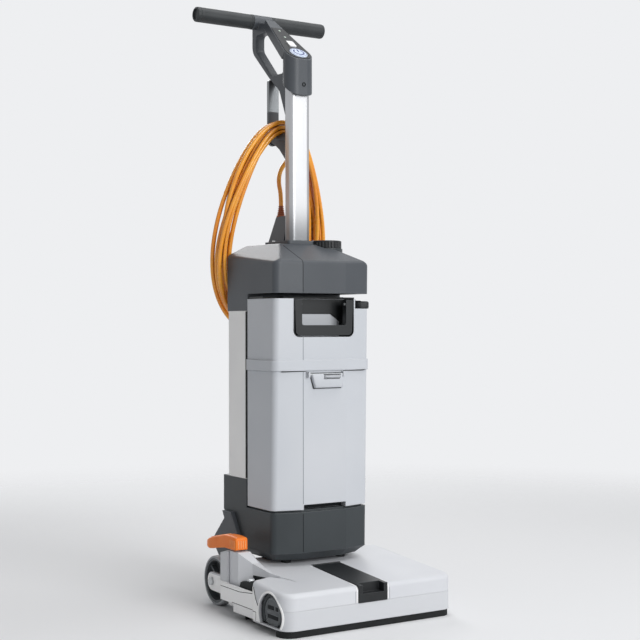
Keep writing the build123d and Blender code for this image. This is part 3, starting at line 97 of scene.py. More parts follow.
def perMetre(sizeMm):
    return 1000.0 / sizeMm  # texture scale for a feature of this size


# moulded plastics: a spark-eroded mould leaves a fine satin grain, edges rub a little paler, tone drifts slightly
# the grain is about 0.4 mm on the real shells, drawn at 0.9 to 2 mm so that it shows at all
plasticBase = {"grainMm": 1.6, "driftMm": 120, "edgeMm": 2.2, "rub": 0.6, "rough": 0.4, "relief": 0.3,
               "shine": 0.5, "ior": 1.5, "coat": 0.0}


def mouldedPlastic(changes):
    look = {**plasticBase, **changes}
    material, tree, shader, place = startMaterial(look["name"])
    grain = addNode(tree, "ShaderNodeTexNoise",
                    {"Scale": perMetre(look["grainMm"]), "Detail": 3.0, "Roughness": 0.6},
                    {"Vector": (place, "Object")})
    drift = addNode(tree, "ShaderNodeTexNoise", {"Scale": perMetre(look["driftMm"]), "Detail": 2.0},
                    {"Vector": (place, "Object")})
    surface = addNode(tree, "ShaderNodeNewGeometry")
    rounded = addNode(tree, "ShaderNodeBevel", {"samples": 4, "Radius": look["edgeMm"] * mm})
    facing = addNode(tree, "ShaderNodeVectorMath", {"operation": "DOT_PRODUCT"},
                     {0: (surface, "Normal"), 1: (rounded, "Normal")})
    edge = addNode(tree, "ShaderNodeMapRange",
                   {"From Min": 0.985, "From Max": 0.82, "To Min": 0.0, "To Max": look["rub"]},
                   {"Value": (facing, "Value")})
    tone = addNode(tree, "ShaderNodeMapRange", {"From Min": 0.32, "From Max": 0.68, "To Min": 0.0, "To Max": 1.0},
                   {"Value": (drift, "Fac")})
    body = addNode(tree, "ShaderNodeMix", {"data_type": "RGBA", 6: linear(look["colour"]), 7: linear(look["tone"])},
                   {0: (tone, "Result")})
    rubbed = addNode(tree, "ShaderNodeMix", {"data_type": "RGBA", 7: linear(look["edge"])},
                     {0: (edge, "Result"), 6: (body, 2)})
    gloss = addNode(tree, "ShaderNodeMapRange", {"From Min": 0.3, "From Max": 0.7, "To Min": look["rough"] - 0.05,
                                                 "To Max": look["rough"] + 0.06}, {"Value": (grain, "Fac")})
    bump = addNode(tree, "ShaderNodeBump", {"Strength": look["relief"], "Distance": look["grainMm"] * mm * 0.12},
                   {"Height": (grain, "Fac"), "Normal": (rounded, "Normal")})
    setNode(tree, shader, {"IOR": look["ior"], "Specular IOR Level": look["shine"], "Coat Weight": look["coat"],
                           "Coat Roughness": 0.12},
            {"Base Color": (rubbed, 2), "Roughness": (gloss, "Result"), "Normal": (bump, "Normal")})
    return material


# shells: cool pale greys with a soft satin sheen, and warm dark greys that catch light on their edges
absLight = mouldedPlastic({"name": "absMouldedLightGrey", "colour": "#D3D5D9", "tone": "#CCCED3", "edge": "#E8EAEC",
                           "driftMm": 160, "rough": 0.46, "relief": 0.25})
absWhite = mouldedPlastic({"name": "absMouldedWhite", "colour": "#FAFAF9", "tone": "#F4F4F4", "edge": "#FDFDFD",
                           "edgeMm": 1.8, "rough": 0.44, "relief": 0.22})
absDark = mouldedPlastic({"name": "absMouldedDarkGrey", "colour": "#4F5358", "tone": "#484C51", "edge": "#8A8E92",
                          "shine": 0.32})
absCharcoal = mouldedPlastic({"name": "absMouldedCharcoal", "colour": "#3B4043", "tone": "#353A3D",
                              "edge": "#74797C", "shine": 0.28, "edgeMm": 2.4})
# tanks: polyethylene is waxy, with softer edges and a slow drift of tone
peTank = mouldedPlastic({"name": "peTankRotomoulded", "colour": "#C7CACF", "tone": "#C0C4CA", "edge": "#E2E5EA",
                         "grainMm": 2.0, "driftMm": 200, "edgeMm": 3.2, "rough": 0.42, "relief": 0.22, "ior": 1.42})
# trim: polypropylene, near black with grey-rubbed corners
ppBlack = mouldedPlastic({"name": "ppMouldedBlack", "colour": "#1E2123", "tone": "#181A1C", "edge": "#4A4E52",
                          "shine": 0.35, "grainMm": 1.4, "driftMm": 60, "edgeMm": 1.4, "rough": 0.42, "relief": 0.35})
# pedal: smooth orange, rubbed pale on the ribs where shoes touch it
absOrange = mouldedPlastic({"name": "absSatinOrange", "colour": "#F6842A", "tone": "#EC741C", "edge": "#F8A862",
                            "shine": 0.3, "driftMm": 40, "edgeMm": 1.6, "rub": 0.5, "relief": 0.15})
absWorn = mouldedPlastic({"name": "absOrangeRubbed", "colour": "#F8AC70", "tone": "#F29C5A", "edge": "#FBC89A",
                          "shine": 0.3, "driftMm": 20, "edgeMm": 0.8, "rub": 0.5, "relief": 0.15})
# rubbers: matt and dusty, without a clear highlight
bootRubber = mouldedPlastic({"name": "tpeBootAmber", "colour": "#A85A34", "tone": "#964C28", "edge": "#C87E52",
                             "grainMm": 1.2, "driftMm": 20, "edgeMm": 0.8, "rub": 0.5, "rough": 0.5})
rubberBlack = mouldedPlastic({"name": "nitrileRubberMoulded", "colour": "#1C1E1F", "tone": "#161819",
                              "edge": "#3C3F41", "shine": 0.25, "grainMm": 1.2, "driftMm": 30, "edgeMm": 1.0,
                              "rub": 0.5, "rough": 0.68, "relief": 0.4})
tyreGrey = mouldedPlastic({"name": "tpeTyreGrey", "colour": "#A4A8AB", "tone": "#989C9F", "edge": "#A9ACAF",
                           "grainMm": 1.2, "driftMm": 30, "edgeMm": 1.2, "rub": 0.5, "rough": 0.6, "relief": 0.4})
gripFoam = mouldedPlastic({"name": "tpeGripSoftTouch", "colour": "#36393B", "tone": "#2F3234", "edge": "#5E6265",
                           "shine": 0.28, "grainMm": 1.0, "driftMm": 45, "edgeMm": 1.2, "rub": 0.5, "rough": 0.46,
                           "relief": 0.4})
# nylons: glass fibre roughens the skin of the fittings, and the bristles are drawn smooth
nylonDark = mouldedPlastic({"name": "nylonGlassFilled", "colour": "#3A3E41", "tone": "#323639", "edge": "#6A6E71",
                            "shine": 0.35, "grainMm": 1.2, "driftMm": 50, "edgeMm": 1.2, "rub": 0.5, "rough": 0.5,
                            "relief": 0.4})
nylonMid = mouldedPlastic({"name": "nylonMouldedWorn", "colour": "#5A5E61", "tone": "#505457", "edge": "#9A9EA0",
                           "shine": 0.4, "grainMm": 1.2, "driftMm": 40, "edgeMm": 1.2, "rough": 0.45, "relief": 0.4})
nylonTuft = mouldedPlastic({"name": "nylonBristleCrimped", "colour": "#3E4A57", "tone": "#323C47", "edge": "#5C6A78",
                            "grainMm": 1.0, "driftMm": 12, "edgeMm": 0.3, "rub": 0.3, "relief": 0.2})
# keys: silicone under a thin varnish, pale with a dull gloss, and navy ink for the sign
keyPad = mouldedPlastic({"name": "siliconeKeyPale", "colour": "#D3DEEE", "tone": "#BCCBE2", "edge": "#F2F6FB",
                         "grainMm": 0.9, "driftMm": 9, "edgeMm": 1.4, "rub": 0.8, "rough": 0.35, "relief": 0.1,
                         "coat": 0.3})
padNavy = mouldedPlastic({"name": "siliconeInkNavy", "colour": "#2F3A78", "tone": "#28326B", "edge": "#5A66A2",
                          "grainMm": 0.9, "driftMm": 9, "edgeMm": 0.3, "rub": 0.3, "relief": 0.1})
keyWhite = mouldedPlastic({"name": "siliconeKeyWhite", "colour": "#E8E9EA", "tone": "#DDDEE0", "edge": "#FFFFFF",
                           "grainMm": 0.9, "driftMm": 12, "edgeMm": 1.2, "relief": 0.1})
# lenses: acrylic with a faint green tint and a clear gloss
lensClear = mouldedPlastic({"name": "pmmaLensTinted", "colour": "#C9D8CC", "tone": "#B8CBBD", "edge": "#EEF4EF",
                            "grainMm": 0.9, "driftMm": 8, "edgeMm": 0.4, "rub": 0.5, "rough": 0.15, "relief": 0.05,
                            "coat": 0.4})
# grooves and gaps: the same plastics where light hardly reaches, so dull and dark
seamGrey = mouldedPlastic({"name": "peTankGrooveShade", "colour": "#8C9197", "tone": "#83888F", "edge": "#A3A8AE",
                           "shine": 0.2, "driftMm": 60, "edgeMm": 0.4, "rub": 0.2, "rough": 0.6, "relief": 0.2})
seamDark = mouldedPlastic({"name": "absGrooveShade", "colour": "#202325", "tone": "#1A1D1F", "edge": "#303436",
                           "shine": 0.15, "driftMm": 60, "edgeMm": 0.4, "rub": 0.2, "rough": 0.6, "relief": 0.2})


# metals: drawn or turned lines run one way, so highlights stretch across them, under a slow haze of tone
metalBase = {"hazeMm": 90, "lineDepthMm": 0.06}


def workedMetal(changes):
    look = {**metalBase, **changes}
    material, tree, shader, place = startMaterial(look["name"])
    stretch = addNode(tree, "ShaderNodeMapping", {"Scale": tuple(perMetre(size) for size in look["linesMm"])},
                      {"Vector": (place, "Object")})
    lines = addNode(tree, "ShaderNodeTexNoise", {"Scale": 1.0, "Detail": 4.0, "Roughness": 0.65},
                    {"Vector": (stretch, "Vector")})
    haze = addNode(tree, "ShaderNodeTexNoise", {"Scale": perMetre(look["hazeMm"]), "Detail": 2.0},
                   {"Vector": (place, "Object")})
    tint = addNode(tree, "ShaderNodeMix", {"data_type": "RGBA", 6: linear(look["colour"]), 7: linear(look["tone"])},
                   {0: (haze, "Fac")})
    foot = look.get("foot")
    if foot:  # painted dark reflection near the foot
        where = addNode(tree, "ShaderNodeSeparateXYZ", None, {"Vector": (place, "Object")})
        low = addNode(tree, "ShaderNodeMapRange",
                      {"interpolation_type": "SMOOTHSTEP", "From Min": foot["clearFrom"], "From Max": foot["darkReflectionTo"],
                       "To Max": foot["share"]}, {"Value": (where, "Z")})
        tint = addNode(tree, "ShaderNodeMix", {"data_type": "RGBA", 7: linear(foot["colour"])},
                       {0: (low, "Result"), 6: (tint, 2)})
    rounded = addNode(tree, "ShaderNodeBevel", {"samples": 4, "Radius": look["edgeMm"] * mm})
    gloss = addNode(tree, "ShaderNodeMapRange", {"From Min": 0.3, "From Max": 0.7, "To Min": look["rough"] - 0.07,
                                                 "To Max": look["rough"] + 0.08}, {"Value": (lines, "Fac")})
    bump = addNode(tree, "ShaderNodeBump", {"Strength": look["relief"], "Distance": look["lineDepthMm"] * mm},
                   {"Height": (lines, "Fac"), "Normal": (rounded, "Normal")})
    setNode(tree, shader, {"Metallic": 1.0},
            {"Base Color": (tint, 2), "Roughness": (gloss, "Result"), "Normal": (bump, "Normal")})
    return material


# mast: satin anodising over long drawing lines, with a painted dark reflection at the foot (heights in metres)
mastAlloy = workedMetal({"name": "aluminiumAnodisedDrawn", "colour": "#B7B8BA", "tone": "#ADAEB0",
                         "linesMm": (0.8, 0.8, 160), "edgeMm": 1.4, "rough": 0.4, "relief": 0.12,
                         "foot": {"darkReflectionTo": 0.690, "clearFrom": 0.768, "colour": "#66686A", "share": 0.85}})
# hook sleeve: plain mill-finished tube, greyer and streaky
sleeveAlloy = workedMetal({"name": "aluminiumTubeMill", "colour": "#85888A", "tone": "#6C6F71",
                           "linesMm": (0.6, 0.6, 90), "edgeMm": 0.8, "rough": 0.32, "relief": 0.2})
# pins, bolts and links: bright zinc over turning lines
zincSteel = workedMetal({"name": "steelZincPlated", "colour": "#C9CBCC", "tone": "#B3B6B8",
                         "linesMm": (6, 1.2, 1.2), "edgeMm": 0.6, "rough": 0.3, "relief": 0.2})
# motor cans: pressed sheet, dull and even
motorSteel = workedMetal({"name": "steelSheetPressed", "colour": "#9DA0A2", "tone": "#8A8D8F",
                          "linesMm": (4, 4, 2), "edgeMm": 0.8, "rough": 0.42, "relief": 0.2})

# cord jacket: extruded soft vinyl, glossy, with faint scuffs, hand-darkened stretches and painted shade where turns
# touch
cordLook = {"name": "vinylJacketOrange", "colour": "#F7AB36", "tone": "#EB9120", "scuff": "#D0731A",
            "contactShade": "#8E4A12", "patchMm": 70, "scuffMm": 9, "contactShadeMm": 7, "coat": 0.3}


def vinylJacket(look):
    material, tree, shader, place = startMaterial(look["name"])
    patch = addNode(tree, "ShaderNodeTexNoise", {"Scale": perMetre(look["patchMm"]), "Detail": 2.0},
                    {"Vector": (place, "Object")})
    scuff = addNode(tree, "ShaderNodeTexNoise", {"Scale": perMetre(look["scuffMm"]), "Detail": 4.0, "Roughness": 0.7},
                    {"Vector": (place, "Object")})
    patchMask = addNode(tree, "ShaderNodeMapRange", {"From Min": 0.35, "From Max": 0.65}, {"Value": (patch, "Fac")})
    scuffMask = addNode(tree, "ShaderNodeMapRange", {"From Min": 0.6, "From Max": 0.78, "To Max": 0.4},
                        {"Value": (scuff, "Fac")})
    jacket = addNode(tree, "ShaderNodeMix",
                     {"data_type": "RGBA", 6: linear(look["colour"]), 7: linear(look["tone"])},
                     {0: (patchMask, "Result")})
    worn = addNode(tree, "ShaderNodeMix", {"data_type": "RGBA", 7: linear(look["scuff"])},
                   {0: (scuffMask, "Result"), 6: (jacket, 2)})
    # painted shade: ambient occlusion darkens the jacket towards brown where turns touch
    shadeProbe = addNode(tree, "ShaderNodeAmbientOcclusion", {"samples": 6, "Distance": look["contactShadeMm"] * mm})
    contactShadeMask = addNode(tree, "ShaderNodeMapRange", {"From Min": 0.85, "From Max": 0.3, "To Max": 0.9},
                       {"Value": (shadeProbe, "AO")})
    shadedJacket = addNode(tree, "ShaderNodeMix", {"data_type": "RGBA", 7: linear(look["contactShade"])},
                     {0: (contactShadeMask, "Result"), 6: (worn, 2)})
    sheen = addNode(tree, "ShaderNodeMapRange", {"From Min": 0.3, "From Max": 0.7, "To Min": 0.2, "To Max": 0.36},
                    {"Value": (scuff, "Fac")})
    ripple = addNode(tree, "ShaderNodeBump", {"Strength": 0.25, "Distance": 0.0004}, {"Height": (scuff, "Fac")})
    setNode(tree, shader, {"Coat Weight": look["coat"], "Coat Roughness": 0.08},
            {"Base Color": (shadedJacket, 2), "Roughness": (sheen, "Result"), "Normal": (ripple, "Normal")})
    return material


cordVinyl = vinylJacket(cordLook)

# chassis: light grey all round, with painted light: white along the left beam and wheel arm, where light falls on
# that side
litSideChassis = {"name": "absMouldedGreyPaintedLitSide", "grey": "#CACCD0", "litWhite": "#FAFAFA", "left": -0.140, "front": -0.0957,
           "top": 0.0602, "rough": 0.45, "grainMm": 1.6, "edgeMm": 2.0}


def litSidePlastic(look):
    material, tree, shader, place = startMaterial(look["name"])
    where = addNode(tree, "ShaderNodeSeparateXYZ", None, {"Vector": (place, "Object")})
    leftOf, behind, below = (addNode(tree, "ShaderNodeMath", {"operation": test, 1: look[limit]}, {0: (where, axis)})
                             for axis, test, limit in (("X", "LESS_THAN", "left"), ("Y", "GREATER_THAN", "front"),
                                                       ("Z", "LESS_THAN", "top")))
    corner = addNode(tree, "ShaderNodeMath", {"operation": "MULTIPLY"}, {0: (leftOf, 0), 1: (behind, 0)})
    skin = addNode(tree, "ShaderNodeMath", {"operation": "MULTIPLY"}, {0: (corner, 0), 1: (below, 0)})
    # painted light: the left flank, behind the front and low down, turns white
    litOrGrey = addNode(tree, "ShaderNodeMix", {"data_type": "RGBA", 6: linear(look["grey"]), 7: linear(look["litWhite"])},
                   {0: (skin, 0)})
    grain = addNode(tree, "ShaderNodeTexNoise", {"Scale": perMetre(look["grainMm"]), "Detail": 3.0},
                    {"Vector": (place, "Object")})
    rounded = addNode(tree, "ShaderNodeBevel", {"samples": 4, "Radius": look["edgeMm"] * mm})
    satin = addNode(tree, "ShaderNodeMapRange", {"From Min": 0.3, "From Max": 0.7, "To Min": look["rough"] - 0.05,
                                                 "To Max": look["rough"] + 0.06}, {"Value": (grain, "Fac")})
    bump = addNode(tree, "ShaderNodeBump", {"Strength": 0.22, "Distance": look["grainMm"] * mm * 0.12},
                   {"Height": (grain, "Fac"), "Normal": (rounded, "Normal")})
    setNode(tree, shader, None, {"Base Color": (litOrGrey, 2), "Roughness": (satin, "Result"), "Normal": (bump, "Normal")})
    return material


absPaintedLitSide = litSidePlastic(litSideChassis)
print("materials made")


# shaping helpers: points are in millimetres until a piece is put in place
def putPiece(name, form, finish, body, stands=(), sharp=32.0):
    bmesh.ops.scale(form, vec=(mm, mm, mm), verts=form.verts[:])
    bmesh.ops.recalc_face_normals(form, faces=form.faces[:])
    mesh = bpy.data.meshes.new(name)
    form.to_mesh(mesh)
    form.free()
    mesh.shade_smooth()
    mesh.set_sharp_from_angle(angle=math.radians(sharp))
    mesh.materials.append(finish)
    piece = bpy.data.objects.new(name, mesh)
    scene.collection.objects.link(piece)
    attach(piece, body)
    if stands:
        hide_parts(*stands)
    return piece


def addRings(form, rings, capped=True, closed=True):
    # joins rings of points into one skin
    rows = [[form.verts.new(point) for point in ring] for ring in rings]
    for first, second in zip(rows, rows[1:]):
        for i in range(len(first) if closed else len(first) - 1):
            j = (i + 1) % len(first)
            form.faces.new((first[i], first[j], second[j], second[i]))
    if capped:
        form.faces.new(rows[0])
        form.faces.new(rows[-1])
    return rows


def addTurned(form, rows, centre, axis, sides=48, capped=True):
    # rows of (along, radius) spun round an axis through the centre
    along = Vector(axis).normalized()
    across = along.orthogonal().normalized()
    other = along.cross(across)
    turns = [2 * math.pi * i / sides for i in range(sides)]
    rings = [[Vector(centre) + along * reach + (across * math.cos(t) + other * math.sin(t)) * radius for t in turns]
             for reach, radius in rows]
    return addRings(form, rings, capped)


def addBlock(form, low, high, cut=0.8):
    # block with its edges broken
    size = Vector(high) - Vector(low)
    middle = (Vector(high) + Vector(low)) / 2
    made = bmesh.ops.create_cube(form, size=1.0, matrix=Matrix.Translation(middle) @ Matrix.Diagonal((*size, 1.0)))
    edges = list({edge for vert in made["verts"] for edge in vert.link_edges})
    bmesh.ops.bevel(form, geom=edges, offset=cut, segments=2, profile=0.5, affect="EDGES")


def addSlab(form, outline, lift, cut=0.0):
    # outline in space raised by lift, with the raised rim broken
    rows = addRings(form, [outline, [Vector(point) + Vector(lift) for point in outline]])
    if cut:
        rim = [form.edges.get((a, b)) for a, b in zip(rows[1], rows[1][1:] + rows[1][:1])]
        bmesh.ops.bevel(form, geom=rim, offset=cut, segments=2, profile=0.5, affect="EDGES")


def addStrip(form, path, facing, width, height):
    # thin ridge laid along a path, standing off the surface that faces this way
    rise = Vector(facing).normalized() * height
    rings = []
    for i, point in enumerate(path):
        ahead = Vector(path[min(i + 1, len(path) - 1)]) - Vector(path[max(i - 1, 0)])
        aside = ahead.cross(Vector(facing)).normalized() * width / 2
        foot, crest = Vector(point) - rise, Vector(point) + rise
        rings.append([foot - aside, crest - aside * 0.7, crest + aside * 0.7, foot + aside])
    addRings(form, rings)


def ovalRing(centre, halfX, halfY, squareness=2.0, sides=32):
    ring = []
    for i in range(sides):
        c, s = math.cos(2 * math.pi * i / sides), math.sin(2 * math.pi * i / sides)
        ring.append(Vector(centre) + Vector((math.copysign(abs(c) ** (2 / squareness), c) * halfX,
                                             math.copysign(abs(s) ** (2 / squareness), s) * halfY, 0)))
    return ring


# mains cord: lead up from the gland, loops hung on the hook, tail down to the plug
# fan rows are one for each turn: how far its flanks stray outward high up and low down on the left, at the foot,
# low down and high up on the right, and how far it hangs back
cordRoute = {"diameter": 8.5, "length": 9.47,
             "lead": [(0, 109, 762), (0, 109, 785), (-3, 114, 809), (3, 117, 834), (20, 108.2, 858.3),
                      (22.5, 100.6, 886), (18, 98, 903)],
             "halfWidth": 88.0, "top": 907.5, "bottom": 540.0, "waist": 0.27, "frontY": 97.5, "lean": 0.178,
             "layers": 4, "turnsPerLayer": 2.0, "climb": 0.5, "layerStep": 9.3, "topStep": 9.8, "bottomStep": 13.0,
             "perTurn": 20, "flankStray": 1.7,
             "fan": [(2, 13, 4, -5, 6, 0), (-6, 14, 8, 7, -6, 0), (8, -7, -3, -6, 5, 4), (-8, 14, 9, 6, -4, 6),
                     (-6, 3, 3, -7, 6, 0), (14, -8, -5, 5, -6, 3), (10, -12, 6, 8, -3, 0), (3, 6, 2, -6, 6, 1),
                     (10, -9, -4, 7, -5, -4), (-6, 11, 0, -3, 3, 0)],
             "tail": [(20, 0, 0), (42, 5, -5), (62, 7, -20), (73, 6, -43), (73, 2.5, -70), (73, -3, -97),
                      (73, -3, -124)]}


def turnCount(route):
    return route["layers"] * route["turnsPerLayer"] + (route["layers"] - 1) * route["climb"]


def loopPoint(route, turn):
    # one point of the hung loops: a drop shape that grows and shrinks, layer behind layer
    span = route["turnsPerLayer"] + route["climb"]
    layer = min(int(turn / span), route["layers"] - 1)
    into = turn - layer * span
    outward = min(into, route["turnsPerLayer"])
    size = outward if layer % 2 == 0 else route["turnsPerLayer"] - outward
    back = layer + max(0.0, into - route["turnsPerLayer"]) / route["climb"]
    back += max(0.0, turn - turnCount(route) + route["climb"]) / route["climb"]
    angle = 2 * math.pi * turn
    height = route["top"] - route["bottom"]
    drop = (1 - math.cos(angle)) / 2
    flank = math.sin(angle) ** 2
    x = -route["halfWidth"] * math.sin(angle) * (1 - route["waist"] * math.cos(angle))
    z = route["top"] - height * drop
    across = -route["halfWidth"] * (math.cos(angle) - route["waist"] * math.cos(2 * angle))
    down = -height * math.sin(angle) / 2
    reach = math.hypot(across, down)
    pitch = route["topStep"] + (route["bottomStep"] - route["topStep"]) * drop
    leftHigh, leftLow, foot, rightLow, rightHigh, hang = route["fan"][min(int(turn), len(route["fan"]) - 1)]
    high, low = (leftHigh, leftLow) if math.sin(angle) > 0 else (rightHigh, rightLow)
    stray = route["flankStray"] * flank * (high * (1 - drop) + low * drop) + foot * drop ** 2
    spread = pitch * size + stray
    x += down / reach * spread
    z -= across / reach * spread
    y = route["frontY"] + back * route["layerStep"] + (route["top"] - z) * route["lean"] + hang * flank
    return x, y, z


def drawCord(route):
    steps = int(turnCount(route) * route["perTurn"])
    points = list(route["lead"]) + [loopPoint(route, step / route["perTurn"]) for step in range(steps + 1)]
    end = points[-1]
    points += [tuple(a + b for a, b in zip(end, move)) for move in route["tail"]]
    curve = bpy.data.curves.new("mainsCord", "CURVE")
    curve.dimensions = "3D"
    line = curve.splines.new("NURBS")
    line.points.add(len(points) - 1)
    for point, place in zip(line.points, points):
        point.co = [value * mm for value in place] + [1.0]
    line.order_u = 3
    line.use_endpoint_u = True
    line.resolution_u = 6
    curve.bevel_depth = route["diameter"] / 2 * mm
    curve.bevel_resolution = 5
    curve.use_fill_caps = True
    piece = bpy.data.objects.new("mainsCord", curve)
    scene.collection.objects.link(piece)
    curve.materials.append(cordVinyl)
    return piece


mainsCord = drawCord(cordRoute)
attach(mainsCord, "column")
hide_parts("cord_lead", "cord_coil", "cord_tail")
print("cord hung")

# strain relief: ribbed boot on the fin's top, tapered towards the cord
strainBoot = {"foot": (0, 109, 740), "footRadius": 8.8, "flange": [(-0.5, 0), (2.6, 0), (3.4, 0.9)], "ribs": 5,
              "firstRib": 4.0, "pitch": 3.5, "first": 7.4, "last": 5.0, "length": 22.0, "mouth": 0.5,
              "rib": [(0, 1.1), (0.8, 1.1), (1.2, 0), (3.0, 0)]}
form = bmesh.new()
rows = [(along, strainBoot["footRadius"] - less) for along, less in strainBoot["flange"]]
for rib in range(strainBoot["ribs"]):
    start = strainBoot["firstRib"] + rib * strainBoot["pitch"]
    radius = strainBoot["first"] + (strainBoot["last"] - strainBoot["first"]) * rib / (strainBoot["ribs"] - 1)
    rows += [(start + along, radius - less) for along, less in strainBoot["rib"]]
rows.append((strainBoot["length"], strainBoot["last"] - strainBoot["mouth"]))
addTurned(form, rows, strainBoot["foot"], (0, 0, 1), sides=32)
putPiece("strainRelief", form, bootRubber, "column", ["cord_gland"])

# mains plug: ribbed boot, waisted body and two sleeved pins; sections are drop, half width, half depth, squareness
plug = {"top": (73, 197.1, 416), "pinSpacing": 19.0, "pinRadius": 2.4, "pinLength": 19.0, "pinsAt": 43.5,
        "pinTip": [(-2, 1.0), (-0.6, 0.8), (0.4, 0.3)],
        "sections": [(-17, 5.0, 5.0, 2), (-14, 5.4, 5.4, 2), (-13.6, 6.4, 6.0, 2), (-11, 6.6, 6.2, 2),
                     (-10.6, 5.6, 5.4, 2), (-9.2, 5.6, 5.4, 2), (-8.8, 7.0, 6.6, 2), (-6.2, 7.2, 6.8, 2),
                     (-5.8, 6.2, 5.9, 2), (-4.4, 6.2, 5.9, 2), (-4, 7.8, 7.2, 2), (0, 9, 7.8, 2.3),
                     (6, 13, 9.8, 2.7), (13, 16.8, 11.4, 3), (18, 17.6, 11.8, 3.3), (20, 16.9, 11.2, 3.3),
                     (22, 17.6, 11.8, 3.3), (24, 16.9, 11.2, 3.3), (26, 17.6, 11.8, 3.3), (28, 16.9, 11.2, 3.3),
                     (30, 17.7, 11.9, 3.5), (42, 17.8, 11.9, 3.5), (43.4, 17.2, 11.4, 3.5), (44, 16, 10.4, 3.5)]}
plugX, plugY, plugZ = plug["top"]
form = bmesh.new()
addRings(form, [ovalRing((plugX, plugY, plugZ - drop), halfX, halfY, square)
                for drop, halfX, halfY, square in plug["sections"]])
mainsPlug = putPiece("mainsPlug", form, ppBlack, "column", ["cord_plug"])
form = bmesh.new()
rows = [(0, plug["pinRadius"])]
rows += [(plug["pinLength"] + along, plug["pinRadius"] * share) for along, share in plug["pinTip"]]
for side in (-1, 1):
    pinTop = (plugX + side * plug["pinSpacing"] / 2, plugY, plugZ - plug["pinsAt"])
    addTurned(form, rows, pinTop, (0, 0, -1), sides=20)
plugPins = putPiece("plugPins", form, zincSteel, "column")

# handle grips: soft sleeves with a stop ring beside the hub and a hollow end
grips = {"centre": (0, 189.5, 1135), "radius": 14.7, "inner": 20.8, "outer": 146.0, "hollow": 10.5,
         "stop": [(0, 1.2), (0.6, 0), (3.4, 0), (4.0, 0.9), (5.2, 0.9), (6.0, 0.2), (40, 0)],
         "end": [(9, 0), (8.4, 0.5), (7.6, 0.5), (7, 0), (3, 0.1), (1.0, 0.8), (0, 2.2)],
         "mouth": [(0, -0.6), (0.6, 0), (3.5, 0.5)]}
form = bmesh.new()
rows = [(grips["inner"] + along, grips["radius"] - less) for along, less in grips["stop"]]
rows += [(grips["outer"] - along, grips["radius"] - less) for along, less in grips["end"]]
rows += [(grips["outer"] - along, grips["hollow"] - less) for along, less in grips["mouth"]]
for side in (-1, 1):
    addTurned(form, rows, grips["centre"], (side, 0, 0), sides=56)
putPiece("softGrips", form, gripFoam, "column", ["handle_grips"])

# tyres: moulded treads with a rounded crown and shallow running grooves
tyre = {"centre": (136.6, 104, 46.6), "radius": 46.6, "inside": 41.7, "half": 12.0, "grooves": (-6, 0, 6),
        "shoulder": [(0, 2.6), (0.8, 1.2), (2.4, 0.4)], "groove": [(-1.0, 0), (-0.6, 0.9), (0.6, 0.9), (1.0, 0)]}
flank = [(-tyre["half"], tyre["inside"])]
flank += [(-tyre["half"] + along, tyre["radius"] - less) for along, less in tyre["shoulder"]]
rows = flank + [(middle + along, tyre["radius"] - less)
                for middle in tyre["grooves"] for along, less in tyre["groove"]]
rows += [(-along, radius) for along, radius in reversed(flank)]
for side, body, node in ((-1, "left_wheel", "left_tyre"), (1, "right_wheel", "right_tyre")):
    form = bmesh.new()
    x, y, z = tyre["centre"]
    addTurned(form, rows + rows[:1], (side * x, y, z), (1, 0, 0), sides=96, capped=False)
    bmesh.ops.remove_doubles(form, verts=form.verts[:], dist=0.001)
    putPiece(node.split("_")[0] + "TyreTread", form, tyreGrey, body, [node])
print("cord ends, grips and tyres shaped")

# brush: nylon tufts in twelve swept rows round the core, each strand leaning its own way
brush = {"axis": (-154, 36.5), "half": 150.0, "core": 18.6, "tip": 35.6, "rows": 12, "pitch": 6.2, "sweep": 0.9,
         "strands": 6, "splay": 2.6, "thick": 0.75, "thin": 0.6, "trim": 0.8, "rootBend": 0.008, "rootLean": 0.3,
         "vary": (37.1, 11.7, 5.3)}


def addStrand(form, x, turn, vary):
    lean, bend = math.sin(vary) * brush["splay"], math.cos(vary * 1.7) * brush["splay"]
    length = brush["tip"] - brush["trim"] * (1 + math.sin(vary * 2.3)) / 2
    root = (brush["core"], turn + bend * brush["rootBend"], x + lean * brush["rootLean"], brush["thick"])
    tip = (length, turn + bend / brush["tip"], x + lean, brush["thick"] * brush["thin"])
    rings = []
    for radius, at, place, size in (root, tip):
        out = Vector((0, math.cos(at), math.sin(at)))
        hub = Vector((place, brush["axis"][0] + out.y * radius, brush["axis"][1] + out.z * radius))
        aside = out.cross(Vector((1, 0, 0))) * size
        heel = hub - Vector((size / 2, 0, 0))
        rings.append([hub + Vector((size, 0, 0)), heel + aside, heel - aside])
    addRings(form, rings)


form = bmesh.new()
for row in range(brush["rows"]):
    for step in range(int(2 * brush["half"] / brush["pitch"]) + 1):
        x = -brush["half"] + step * brush["pitch"]
        turn = 2 * math.pi * row / brush["rows"] + brush["sweep"] * abs(x) / brush["half"]
        for strand in range(brush["strands"]):
            addStrand(form, x, turn, sum(a * b for a, b in zip(brush["vary"], (row, step, strand))))
putPiece("brushTufts", form, nylonTuft, "brush", ["brush_bristles"], sharp=60)
print("brush tufted")

